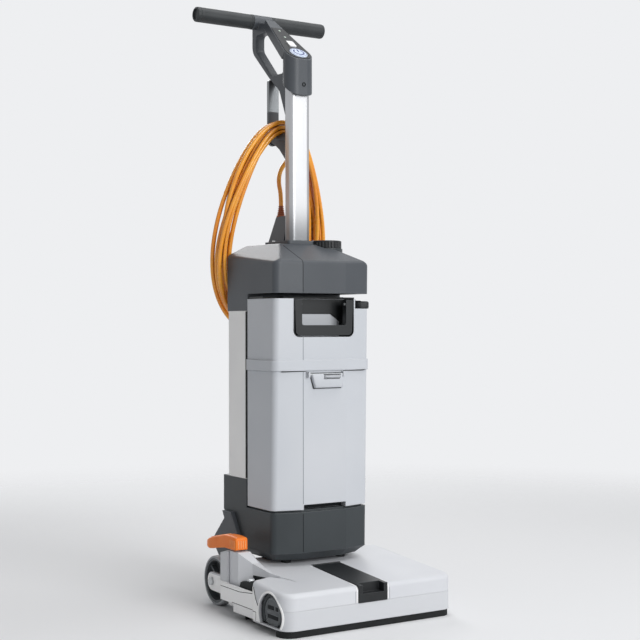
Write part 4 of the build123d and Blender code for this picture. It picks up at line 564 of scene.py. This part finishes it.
# foot pedal: hollow moulding, block over the pin and a rounded tongue with tread ribs
# stations are distance back, half width, top and lower edge
pedal = {"middle": -154.5, "thick": 2.6, "tipThick": 1.2, "tipHalf": 4, "corner": 4.5, "cornerShare": 0.6,
         "cornerAngles": (0, 0.4, 0.8, 1.2, 1.5708), "half": 12.5, "front": -11,
         "stations": [(-11, 9.8, 139.6, 121.6), (-10.2, 11.8, 142.2, 121.2), (-8.4, 12.5, 143.7, 121),
                      (2, 12.5, 144.6, 121), (14, 12.5, 145, 121), (34, 12.5, 144.2, 121), (49, 12.5, 141.3, 118.4),
                      (63, 12.5, 138.4, 116.4), (80, 12.4, 134.8, 113), (91, 12.1, 132.2, 111.3),
                      (100, 11.4, 129.4, 112.4), (107, 9.6, 126.9, 114.2), (112, 6.8, 125, 116.2),
                      (114.6, 3.0, 123.4, 118)],
         "treads": (44, 52, 60, 68, 76, 84, 92), "treadShare": 0.62, "treadFacing": (0, 0.24, 0.97),
         "treadSize": (2.4, 0.9), "frontRibs": (-7.2, -2.4, 2.4, 7.2), "frontSize": (2.2, 0.9),
         "sideRibs": (-5, 0, 5, 10), "sideSize": (2.2, 0.6), "ribLow": 124, "ribHigh": 138}


def pedalSection(y, half, top, low, inset=0.0):
    # open section: up one side, over the rounded top and down the other
    reach = half - inset
    bend = min(pedal["corner"], half * pedal["cornerShare"]) - inset * 0.5
    points = [(-reach, low)]
    points += [(-reach + bend * (1 - math.cos(a)), top - inset - bend * (1 - math.sin(a)))
               for a in pedal["cornerAngles"]]
    points += [(-x, z) for x, z in reversed(points)]
    return [(pedal["middle"] + x, y + inset * (1 if y < 0 else -1), z) for x, z in points]


def pedalAt(y):
    # half width and top of the pedal at this distance back
    near = [station for station in pedal["stations"] if station[0] <= y][-1]
    far = [station for station in pedal["stations"] if station[0] > y][0]
    share = (y - near[0]) / (far[0] - near[0])
    return near[1] + (far[1] - near[1]) * share, near[2] + (far[2] - near[2]) * share


form = bmesh.new()
skins = [pedalSection(*station) for station in pedal["stations"]]
cores = [pedalSection(*station, pedal["thick"] if station[1] > pedal["tipHalf"] else pedal["tipThick"])
         for station in pedal["stations"]]
outside = addRings(form, skins, capped=False, closed=False)
inside = addRings(form, cores, capped=False, closed=False)
for edge in (0, -1):
    for a, b, c, d in zip(outside, outside[1:], inside[1:], inside):
        form.faces.new((a[edge], b[edge], c[edge], d[edge]))
for end in (0, -1):
    form.faces.new(outside[end])
    form.faces.new(inside[end])
    form.faces.new((outside[end][0], outside[end][-1], inside[end][-1], inside[end][0]))
putPiece("footPedal", form, absOrange, "pedal", ["foot_pedal"])
form = bmesh.new()
for y in pedal["treads"]:
    half, top = pedalAt(y)
    addStrip(form, [(pedal["middle"] + side * half * pedal["treadShare"], y, top) for side in (-1, 1)],
             pedal["treadFacing"], *pedal["treadSize"])
for x in pedal["frontRibs"]:
    addStrip(form, [(pedal["middle"] + x, pedal["front"], z) for z in (pedal["ribLow"], pedal["ribHigh"])],
             (0, -1, 0), *pedal["frontSize"])
for side in (-1, 1):
    x = pedal["middle"] + side * pedal["half"]
    for y in pedal["sideRibs"]:
        addStrip(form, [(x, y, pedal["ribLow"]), (x, y, pedal["ribHigh"])], (side, 0, 0), *pedal["sideSize"])
putPiece("pedalTread", form, absWorn, "pedal")
print("pedal moulded")

# brush end: white rim round the arch, painting the light caught on its edge, dark cover plate, and the slotted knob
# that locks the brush
# rim rows are the reach past the arch and how far it stands proud
arch = {"y": -154.0, "z": 33.2, "radius": 36.8, "sill": 14.7, "steps": 48, "plateGap": 0.3, "plateThick": 3.2,
        "rim": [(0.2, -0.6), (0.2, 0.8), (0.9, 1.2), (2.5, 1.2), (3.4, 0.7), (3.4, -0.6)]}
deckSide = {"x": -180.0, "front": -204.0, "corner": 25.0, "edge": 9.0, "frontHeight": 74.5, "slope": 4.5}
knob = {"y": -154.0, "z": 36.5, "radius": 26.8, "gap": 0.9, "face": -174.4, "back": -170.7,
        "disc": [(0, 0.2), (-2.6, 0), (-3.3, 0.7), (-3.7, 1.8), (-3.7, 4.6), (-2.6, 5.2), (-2.6, 5.6)],
        "sleeve": [(0, 17.6), (36, 17.6), (37, 16.6)], "barHalf": 22, "barRise": 3.4, "barProud": 0.2, "barCut": 1.0,
        "wellShades": [(-172.5, -161.8, 40.4, 48.4), (-158.2, -135.5, 40.4, 48.4), (-172.5, -135.5, 24.6, 32.6)],
        "wellSunk": 0.7, "wellCut": 1.4}


def roundedIn(past, radius):
    # how far a rounded edge has turned in, this far past its start
    return radius - math.sqrt(max(0.0, radius ** 2 - past ** 2)) if past > 0 else 0.0


def sideX(y, z):
    # deck's left side, with its rounded front corner and top edge
    top = deckSide["frontHeight"] + (y - deckSide["front"]) * math.tan(math.radians(deckSide["slope"]))
    x = deckSide["x"] + roundedIn(deckSide["front"] + deckSide["corner"] - y, deckSide["corner"])
    return x + roundedIn(z - (top - deckSide["edge"]), deckSide["edge"])


def archRing(radius, sill, x=None, proud=0.0):
    low = math.asin((sill - arch["z"]) / radius)
    angles = [low + (math.pi - 2 * low) * i / arch["steps"] for i in range(arch["steps"] + 1)]
    ring = [(arch["y"] + radius * math.cos(a), arch["z"] + radius * math.sin(a)) for a in angles]
    return [(sideX(y, z) - proud if x is None else x, y, z) for y, z in ring]


form = bmesh.new()
addRings(form, [archRing(arch["radius"] + past, arch["sill"], proud=proud) for past, proud in arch["rim"]],
         capped=False, closed=False)
putPiece("archRimPaintedLight", form, absWhite, "deck")
form = bmesh.new()
knobAxis = (knob["back"], knob["y"], knob["z"])
outerRing = archRing(arch["radius"] - arch["plateGap"], arch["sill"] + arch["plateGap"], knob["face"])
holeRing = []
for x, y, z in outerRing:
    away = Vector((0, y - knob["y"], z - knob["z"])).normalized()
    holeRing.append(Vector((x, knob["y"], knob["z"])) + away * (knob["radius"] + knob["gap"]))
deep = Vector((arch["plateThick"], 0, 0))
back = [Vector(point) + deep for point in outerRing]
rows = addRings(form, [back, outerRing, holeRing, [point + deep for point in holeRing], back],
                capped=False, closed=False)
for end in (0, -1):
    form.faces.new([row[end] for row in rows[:4]])
bmesh.ops.remove_doubles(form, verts=form.verts[:], dist=0.001)
putPiece("archPlate", form, nylonDark, "deck")
form = bmesh.new()
addTurned(form, [(along, knob["radius"] - less) for along, less in knob["disc"]], knobAxis, (1, 0, 0), sides=64)
addBlock(form, (knob["face"] - knob["barProud"], knob["y"] - knob["barHalf"], knob["z"] - knob["barRise"]),
         (knob["back"], knob["y"] + knob["barHalf"], knob["z"] + knob["barRise"]), knob["barCut"])
addTurned(form, knob["sleeve"], knobAxis, (1, 0, 0), sides=40)
putPiece("brushKnob", form, nylonMid, "knob", ["brush_end_knob"])
form = bmesh.new()
# painted shade: dark blocks on the knob's face stand for the shade in its wells
for front, rear, low, high in knob["wellShades"]:
    addBlock(form, (knob["face"] + knob["wellSunk"], front, low), (knob["back"], rear, high), knob["wellCut"])
putPiece("knobWellShade", form, seamDark, "knob")
print("brush end fitted")

# tank top: black sheet painting the shadow in the carrying recess, cut away over the lit pale slope below
recessShade = {"back": -14.4, "front": -48.0, "half": 65.6, "low": 507.4, "corner": 11.6, "top": 577.5, "thick": 0.8,
         "patch": [(34.4, 549.8), (53.8, 535.9), (53.8, 507.4)], "leftEdge": -40.0}


def recessShadeCorner(side, inset=0.0):
    # wall down one side of the recess and round its lower corner
    radius = recessShade["corner"] - inset
    x, z = side * (recessShade["half"] - recessShade["corner"]), recessShade["low"] + recessShade["corner"]
    turns = [math.radians(angle) for angle in (0, 18, 36, 54, 72, 90)]
    wall = [(side * (recessShade["half"] - inset), recessShade["top"])]
    return wall + [(x + side * radius * math.cos(t), z - radius * math.sin(t)) for t in turns]


form = bmesh.new()
shape = recessShadeCorner(1) + recessShade["patch"][::-1]
shape += [(recessShade["leftEdge"], recessShade["patch"][0][1]), (recessShade["leftEdge"], recessShade["low"])] + recessShadeCorner(-1)[::-1]
addSlab(form, [(x, recessShade["back"], z) for x, z in shape], (0, -recessShade["thick"], 0))
for side in (-1, 1):
    band = recessShadeCorner(side) + recessShadeCorner(side, recessShade["thick"])[::-1]
    addSlab(form, [(x, recessShade["back"], z) for x, z in band], (0, recessShade["front"] - recessShade["back"], 0))
putPiece("recessShadow", form, ppBlack, "tanks")

# finger slot under the tank: its shaded inside, back wall and roof
fingerSlot = {"half": 45.6, "low": 190.4, "high": 198.8, "front": -48.4, "back": -33.4, "thick": 0.6, "cut": 0.2}
form = bmesh.new()
farCorner = (fingerSlot["half"], fingerSlot["back"], fingerSlot["high"])
for y, z in ((fingerSlot["back"] - fingerSlot["thick"], fingerSlot["low"]),
             (fingerSlot["front"], fingerSlot["high"] - fingerSlot["thick"])):
    addBlock(form, (-fingerSlot["half"], y, z), farCorner, fingerSlot["cut"])
putPiece("slotShade", form, seamDark, "tanks")

# tank latch: flap with a slanted left edge, soft rim and a pull bar between two thin slots, in a shadow gap
latch = {"back": -49.6, "front": -57.6, "outline": [(-32.5, 439.2), (-24.5, 413.4), (34.6, 413.4), (34.9, 439.2)],
         "soft": 2.2, "bar": (-6.5, 431.2, 29.0, 436.8), "barProud": 1.0, "barSunk": 0.5, "barCut": 0.9,
         "shadow": -48.9, "shadowThick": 0.4,
         "gap": [(-34.5, 441.0), (-25.8, 411.6), (36.2, 411.6), (36.6, 432.5), (36.2, 432.5), (36.2, 441.0)],
         "splitShadowZ": 444.2, "splitShadowSize": (1.5, 0.2),
         "split": [[(-91.5, -45.7), (-47, -49), (-40.5, -49)], [(40.5, -49), (47, -49), (91.5, -45.7)]],
         "slots": ((-7.5, 438.0, 30.5), (-7.5, 430.0, 27.5)), "slotShadeSize": (1.5, 0.15)}
form = bmesh.new()
addSlab(form, [(x, latch["back"], z) for x, z in latch["outline"]], (0, latch["front"] - latch["back"], 0),
        latch["soft"])
left, low, right, high = latch["bar"]
addBlock(form, (left, latch["front"] - latch["barProud"], low), (right, latch["front"] + latch["barSunk"], high),
         latch["barCut"])
putPiece("latchFlap", form, peTank, "latch", ["tank_latch"], sharp=50)
form = bmesh.new()
addSlab(form, [(x, latch["shadow"], z) for x, z in latch["gap"]], (0, -latch["shadowThick"], 0))
# dark strips along the tank split: the joint, with the painted shadow under the band
for line in latch["split"]:
    addStrip(form, [(x, y, latch["splitShadowZ"]) for x, y in line], (0, -1, 0), *latch["splitShadowSize"])
putPiece("latchShadow", form, seamDark, "tanks")
form = bmesh.new()
for left, z, right in latch["slots"]:
    addStrip(form, [(left, latch["front"], z), (right, latch["front"], z)], (0, -1, 0), *latch["slotShadeSize"])
putPiece("latchSlots", form, seamDark, "latch")

# filler cap: knurled rim, sunk top and a short strap back to the tank; rim rows are height, radius, knurl depth
cap = {"centre": (96, -26, 560.3), "height": 14.0, "ribs": 40, "stem": [(0, 4.6), (-8.5, 4.6), (-9, 4.0)],
       "rim": [(0, 14.6, 0), (0.8, 15.2, 0), (2.2, 15.2, 0), (2.6, 15.5, 0.5), (11.2, 15.5, 0.5), (12.2, 15.0, 0.3),
               (13.6, 13.6, 0), (14.0, 12.6, 0), (14.0, 10.4, 0), (13.0, 9.6, 0)],
       "strapFoot": (72.5, -14, 566), "strapTop": 574.6, "strapRise": 9.5, "strapFall": 0.35, "strapSteps": 12,
       "strapSize": (6.0, 0.9)}
form = bmesh.new()
turns = [2 * math.pi * i / (cap["ribs"] * 4) for i in range(cap["ribs"] * 4)]
rings = []
for along, radius, knurl in cap["rim"]:
    reaches = [radius - knurl * (0.5 + 0.5 * math.cos(t * cap["ribs"])) for t in turns]
    rings.append([Vector(cap["centre"]) + Vector((math.cos(t) * reach, math.sin(t) * reach, along))
                  for t, reach in zip(turns, reaches)])
addRings(form, rings)
addTurned(form, cap["stem"], cap["centre"], (0, 0, 1), sides=24)
strapFoot, strapEnd = Vector(cap["strapFoot"]), Vector(cap["centre"]) + Vector((0, 0, cap["height"]))
strap = []
for i in range(cap["strapSteps"] + 1):
    share = i / cap["strapSteps"]
    x, y, z = strapFoot + (strapEnd - strapFoot) * share
    z += cap["strapRise"] * math.sin(math.pi * share) * (1 - cap["strapFall"] * share)
    strap.append((x, y, min(z, cap["strapTop"])))
addStrip(form, strap, (0, 0, 1), *cap["strapSize"])
putPiece("fillerCap", form, ppBlack, "plug", ["filler_plug"])
print("tank top fitted")

# groove line where the front face meets its left facet, carried on over the roof
groove = {"x": -47.0, "face": -49.0, "facing": (-0.12, -0.99, 0), "width": 1.5, "proud": 0.12,
          "brow": [(-49, 641.8), (-48.4, 644.9), (-46.6, 647.5), (-44.3, 649.1), (22, 679)],
          "browFacing": (0, -0.55, 0.83), "browWidth": 1.8, "browProud": 0.24,
          "lines": [("tankGroove", "tanks", seamGrey, "light_shell", ((200.5, 444.6), (446, 507))),
                    ("baseGroove", "column", seamDark, "dark_shell", ((113, 183),)),
                    ("housingGroove", "column", seamDark, "dark_shell", ((589, 642),))]}
for name, body, finish, slot, spans in groove["lines"]:
    form = bmesh.new()
    for span in spans:
        addStrip(form, [(groove["x"], groove["face"], z) for z in span], groove["facing"], groove["width"],
                 groove["proud"])
    if name == "housingGroove":
        addStrip(form, [(groove["x"], y, z) for y, z in groove["brow"]], groove["browFacing"], groove["browWidth"],
                 groove["browProud"])
    putPiece(name, form, finish, body)

# left side: white sheet of painted light that reaches round to the arch, its seams, a painted dark slot, and the
# rubber gaiter of the lift link
# gaiter rows are height, place along the side, half width, half length, squareness
leftSide = {"face": -180.0, "sunk": 0.4, "thick": 0.7, "seamSize": (1.3, 0.2),
            "skin": [(-95.8, 72.5), (-99, 71.5), (-102.2, 63), (-106, 54), (-110.6, 47), (-115.4, 42), (-115.3, 30),
                     (-116.6, 22), (-119.2, 14.8), (-95.8, 14.8)],
            "seams": [(-180.6, [(-98.6, 72), (-102.2, 63), (-106, 54), (-110.6, 47), (-115.0, 42)]),
                      (-180.6, [(-95.9, 30), (-106.6, 30), (-107.4, 29.2), (-107.4, 15)]),
                      (-176.0, [(31, 53), (-41, 53), (-72, 56.5), (-95, 59)]), (-176.0, [(-12, 29.6), (-95, 29.6)])],
            "slot": [(-149.7, -43.5, 76), (-141.6, -73.5, 76)], "slotShadeFacing": (-0.966, -0.259, 0),
            "slotShadeSize": (10.0, 0.3), "gaiterX": -157,
            "gaiter": [(56.1, -50, 11, 31, 5), (58, -50, 11, 31, 5), (66, -49.5, 9.6, 28, 4.5),
                       (68.2, -49, 8.4, 24, 4), (69.4, -48.6, 7, 16, 3), (70.2, -48.4, 6.4, 10, 2.4),
                       (71.4, -48, 5.6, 6.4, 2), (71.8, -48, 5, 5, 2), (71.8, -48, 3.9, 3.9, 2),
                       (66, -48, 3.9, 3.9, 2)]}
form = bmesh.new()
addSlab(form, [(leftSide["face"] + leftSide["sunk"], y, z) for y, z in leftSide["skin"]],
        (-leftSide["thick"] - leftSide["sunk"], 0, 0))
putPiece("sideLitSkin", form, absWhite, "deck")
form = bmesh.new()
for x, seam in leftSide["seams"]:
    addStrip(form, [(x, y, z) for y, z in seam], (-1, 0, 0), *leftSide["seamSize"])
# painted shade: a dark strip on the flank wall stands for the shaded opening of a slot
addStrip(form, leftSide["slot"], leftSide["slotShadeFacing"], *leftSide["slotShadeSize"])
putPiece("sideSeamsAndSlotShade", form, seamDark, "deck")
form = bmesh.new()
addRings(form, [ovalRing((leftSide["gaiterX"], y, z), halfX, halfY, square)
                for z, y, halfX, halfY, square in leftSide["gaiter"]], capped=False)
putPiece("linkGaiter", form, rubberBlack, "deck")

# rubber seal strips over the rear panel's front edges, facing the tanks, widened and black to paint the shade of the
# gap between tanks and panel
sealGapShade = {"inner": 99.8, "outer": 104.8, "front": 59.2, "back": 65.0, "low": 241.0, "high": 555.0, "cut": 0.6}
form = bmesh.new()
for side in (-1, 1):
    left, right = sorted((side * sealGapShade["inner"], side * sealGapShade["outer"]))
    addBlock(form, (left, sealGapShade["front"], sealGapShade["low"]), (right, sealGapShade["back"], sealGapShade["high"]), sealGapShade["cut"])
putPiece("tankSealGapShade", form, rubberBlack, "column")

# duct cover: white strips down both sides of its front, painting the highlight on the slot's rim, each with a fine
# painted shadow line outside
duct = {"edgeHighlight": 33.0, "edgeHighlightFacing": (0, -0.7, 0.71), "edgeHighlightSize": (3.0, 0.6), "line": 36.2,
        "lineFacing": (0, -0.85, 0.5), "lineSize": (0.9, 0.15), "linePoints": 4,
        "path": [(-204, 46), (-204, 65.6), (-203.3, 69), (-201.4, 71.8), (-198.4, 73.9), (-195, 74.9), (-180, 76.4)]}
edgeHighlights, lines = bmesh.new(), bmesh.new()
for side in (-1, 1):
    addStrip(edgeHighlights, [(side * duct["edgeHighlight"], y, z) for y, z in duct["path"]], duct["edgeHighlightFacing"], *duct["edgeHighlightSize"])
    addStrip(lines, [(side * duct["line"], y, z) for y, z in duct["path"][:duct["linePoints"]]], duct["lineFacing"],
             *duct["lineSize"])
putPiece("ductEdgeHighlights", edgeHighlights, absWhite, "deck")
putPiece("ductLines", lines, seamGrey, "deck")

# control panel: domed power pad with a plain ring and bar, laid on the sloping arm
# dome rows are the share of the pad's reach and the lift; marks are half width, half length and lift
panel = {"origin": (0, 26.5, 1035), "slope": math.atan2(98.0, 124.5), "padAt": 22.0, "pad": (18.6, 16.6), "sides": 56,
         "dome": [(1.0, -2.0), (1.0, 1.8), (0.97, 2.4), (0.92, 2.8), (0.8, 3.0), (0.5, 3.3), (0.2, 3.4)],
         "ring": (10.5, 9, 3.12), "ringAngles": range(125, 416, 10), "ringSize": (3.8, 0.25),
         "bar": (0, 5, 10), "barLift": 3.28, "barSize": (3.8, 0.22),
         "rim": (16.2, 14.4, 2.82), "rimAngles": range(0, 361, 8), "rimSize": (1.0, 0.2)}


def onPanel(across, along, lift):
    c, s = math.cos(panel["slope"]), math.sin(panel["slope"])
    x, y, z = panel["origin"]
    return Vector((x + across, y + along * c - lift * s, z + along * s + lift * c))


def roundPad(halfAcross, halfAlong, lift, turns):
    return [onPanel(math.cos(t) * halfAcross, panel["padAt"] + math.sin(t) * halfAlong, lift) for t in turns]


form = bmesh.new()
turns = [2 * math.pi * i / panel["sides"] for i in range(panel["sides"])]
addRings(form, [roundPad(panel["pad"][0] * share, panel["pad"][1] * share, lift, turns)
                for share, lift in panel["dome"]])
putPiece("powerPad", form, keyPad, "power_key", ["power_button"])
form = bmesh.new()
upward = onPanel(0, 0, 1) - onPanel(0, 0, 0)
addStrip(form, roundPad(*panel["ring"], map(math.radians, panel["ringAngles"])), upward, *panel["ringSize"])
addStrip(form, [onPanel(0, panel["padAt"] + along, panel["barLift"]) for along in panel["bar"]], upward,
         *panel["barSize"])
addStrip(form, roundPad(*panel["rim"], map(math.radians, panel["rimAngles"])), upward, *panel["rimSize"])
putPiece("padMarks", form, padNavy, "power_key")
print("panel dressed")

# screws with a round socket: rear panel and mast foot in plated steel, the sleeve's one blackened
# head rows are height, share of the radius and what is taken off it
screws = {"head": [(-0.5, 1, 0), (1.4, 1, 0), (2.0, 1, 0.7), (2.0, 0.58, 0), (0.7, 0.52, 0), (0.7, 0.2, 0)],
          "rear": [(-92, 136, 262), (92, 136, 262), (-92, 136, 534), (92, 136, 534)], "rearRadius": 4.0,
          "foot": [(-25.5, 92, 690), (25.5, 92, 690)], "footRadius": 3.6,
          "sleeve": [(2, 27.3, 987)], "sleeveRadius": 4.2}


def addScrews(form, places, axis, radius):
    rows = [(along, radius * share - less) for along, share, less in screws["head"]]
    for place in places:
        addTurned(form, rows, place, axis, sides=24)


form = bmesh.new()
addScrews(form, screws["rear"], (0, 1, 0), screws["rearRadius"])
addScrews(form, screws["foot"], (0, 0, 1), screws["footRadius"])
putPiece("panelScrews", form, zincSteel, "column")
form = bmesh.new()
addScrews(form, screws["sleeve"], (0, -1, 0), screws["sleeveRadius"])
putPiece("sleeveScrew", form, seamDark, "column")

# rear panel: raised louvre bank that lets the vacuum's air out, in a frame over a dark back
# slat points are how far proud of the panel and how high above the slat's foot
louvres = {"half": 62.0, "low": 290.0, "count": 9, "pitch": 12.0, "face": 136.0, "frame": 7.0, "margin": 6,
           "slat": [(-0.4, 0), (3.2, 1.0), (3.2, 2.4), (-0.4, 7.5)], "frameProud": 2.4, "frameSunk": 0.5,
           "frameCut": 1.0, "lap": 0.5, "shadeProud": 0.3, "shadeLap": 1, "shadeCut": 0.2}
half, face = louvres["half"], louvres["face"]
form = bmesh.new()
for i in range(louvres["count"]):
    foot = louvres["low"] + i * louvres["pitch"]
    addSlab(form, [(-half, face + proud, foot + rise) for proud, rise in louvres["slat"]], (2 * half, 0, 0))
low, high = louvres["low"] - louvres["margin"], louvres["low"] + louvres["count"] * louvres["pitch"]
wide, lap = half + louvres["frame"], louvres["lap"]
for left, bottom, right, top in ((-wide, low - louvres["frame"], wide, low),
                                 (-wide, high, wide, high + louvres["frame"]),
                                 (-wide, low - lap, -half, high + lap), (half, low - lap, wide, high + lap)):
    addBlock(form, (left, face - louvres["frameSunk"], bottom), (right, face + louvres["frameProud"], top),
             louvres["frameCut"])
putPiece("rearLouvres", form, absDark, "column")
form = bmesh.new()
past = louvres["shadeLap"]
addBlock(form, (-half - past, face - louvres["frameSunk"], low - past),
         (half + past, face + louvres["shadeProud"], high + past), louvres["shadeCut"])
putPiece("louvreShade", form, seamDark, "column")
print("screws and louvres set")

# finishes for the CAD nodes that stay in view
finishes = {
    absLight: "deck_cover",
    absPaintedLitSide: "deck_chassis",
    absWhite: "rear_housing",
    peTank: "clean_tank recovery_tank",
    absDark: "pivot_plates top_housing mast_foot handle_frame fan_casing hook_bracket hook_finger",
    absCharcoal: "base_housing cap_collar",
    ppBlack: "duct_cover screw_cap control_panel mast_strip tank_bail recovery_lid",
    nylonDark: "vacuum_fan suction_pipe suction_duct squeegee_holder solution_pump motor_pulley drive_hub brush_core",
    nylonMid: "left_wheel_hub right_wheel_hub",
    rubberBlack: "front_lip squeegee_blades rest_bumpers drive_belt",
    mastAlloy: "mast handle_bar",
    sleeveAlloy: "hook_sleeve",
    zincSteel: "rear_axle axle_bolts pedal_pin lift_link tank_pins",
    motorSteel: "brush_motor vacuum_motor",
    keyWhite: "water_button",
    lensClear: "indicator_lenses",
}
for material, names in finishes.items():
    for name in names.split():
        mesh = nodes[name].data
        mesh.materials.clear()
        mesh.materials.append(material)
print("finishes given")

# studio: pale floor that fades into a pale background, one big soft key straight in front, one lamp overhead
# and one behind for the roof; lamps are name, place, aim, size in metres and watts
studio = {"pale": "#EEEFF1", "floor": "#E2E3E5", "fadeFrom": 1.1, "fadeTo": 2.6, "margin": 0.3, "fill": 0.32,
          "fibreMm": 3,
          "lamps": [("keyLamp", (0.55, -3.3, 1.5), (0, 0, 0.55), 2.0, 75),
                    ("topLamp", (0.5, -0.5, 3.0), (0, 0, 0.3), 2.2, 37),
                    ("backLamp", (0.9, 2.4, 1.9), (0, 0, 0.7), 1.4, 26)]}


def layFloor(look):
    mesh = bpy.data.meshes.new("studioFloor")
    form = bmesh.new()
    bmesh.ops.create_circle(form, cap_ends=True, segments=96, radius=look["fadeTo"] + look["margin"])
    form.to_mesh(mesh)
    form.free()
    floor = bpy.data.objects.new("studioFloor", mesh)
    scene.collection.objects.link(floor)
    # matt studio paper with a fine tooth, gone into the background at its rim
    paint, tree, shader, place = startMaterial("paperSweepPale")
    fibre = addNode(tree, "ShaderNodeTexNoise", {"Scale": perMetre(look["fibreMm"]), "Detail": 2.0},
                    {"Vector": (place, "Object")})
    tooth = addNode(tree, "ShaderNodeBump", {"Strength": 0.05, "Distance": 0.0002}, {"Height": (fibre, "Fac")})
    setNode(tree, shader, {"Base Color": linear(look["floor"]), "Roughness": 0.9, "Specular IOR Level": 0.1},
            {"Normal": (tooth, "Normal")})
    reach = addNode(tree, "ShaderNodeVectorMath", {"operation": "LENGTH"}, {0: (place, "Object")})
    fade = addNode(tree, "ShaderNodeMapRange", {"interpolation_type": "SMOOTHSTEP", "From Min": look["fadeFrom"],
                                                "From Max": look["fadeTo"]}, {"Value": (reach, "Value")})
    clear = addNode(tree, "ShaderNodeBsdfTransparent")
    blend = addNode(tree, "ShaderNodeMixShader", None,
                    {0: (fade, "Result"), 1: (shader, "BSDF"), 2: (clear, "BSDF")})
    output = next(node for node in tree.nodes if node.type == "OUTPUT_MATERIAL")
    tree.links.new(blend.outputs[0], output.inputs["Surface"])
    mesh.materials.append(paint)


def fillAir(look):
    # soft even light all round, while camera, glossy and transmitted rays see the pale background
    world = bpy.data.worlds.new("studioAir")
    scene.world = world
    world.use_nodes = True
    air = world.node_tree
    air.nodes.clear()
    rays = addNode(air, "ShaderNodeLightPath")
    seen = addNode(air, "ShaderNodeMath", {"operation": "MAXIMUM"},
                   {0: (rays, "Is Camera Ray"), 1: (rays, "Is Glossy Ray")})
    shown = addNode(air, "ShaderNodeMath", {"operation": "MAXIMUM"},
                    {0: (seen, 0), 1: (rays, "Is Transmission Ray")})
    soft = addNode(air, "ShaderNodeBackground", {"Color": (1, 1, 1, 1), "Strength": look["fill"]})
    pale = addNode(air, "ShaderNodeBackground", {"Color": linear(look["pale"]), "Strength": 1.0})
    either = addNode(air, "ShaderNodeMixShader", None, {0: (shown, 0), 1: (soft, 0), 2: (pale, 0)})
    addNode(air, "ShaderNodeOutputWorld", None, {"Surface": (either, 0)})


def hangLamps(look):
    for name, spot, aim, size, power in look["lamps"]:
        light = bpy.data.lights.new(name, "AREA")
        light.size = size
        light.energy = power
        lamp = bpy.data.objects.new(name, light)
        lamp.location = spot
        lamp.rotation_euler = (Vector(aim) - Vector(spot)).to_track_quat("-Z", "Y").to_euler()
        scene.collection.objects.link(lamp)


layFloor(studio)
fillAir(studio)
hangLamps(studio)
scene.view_settings.view_transform = "Standard"
print("studio lit")
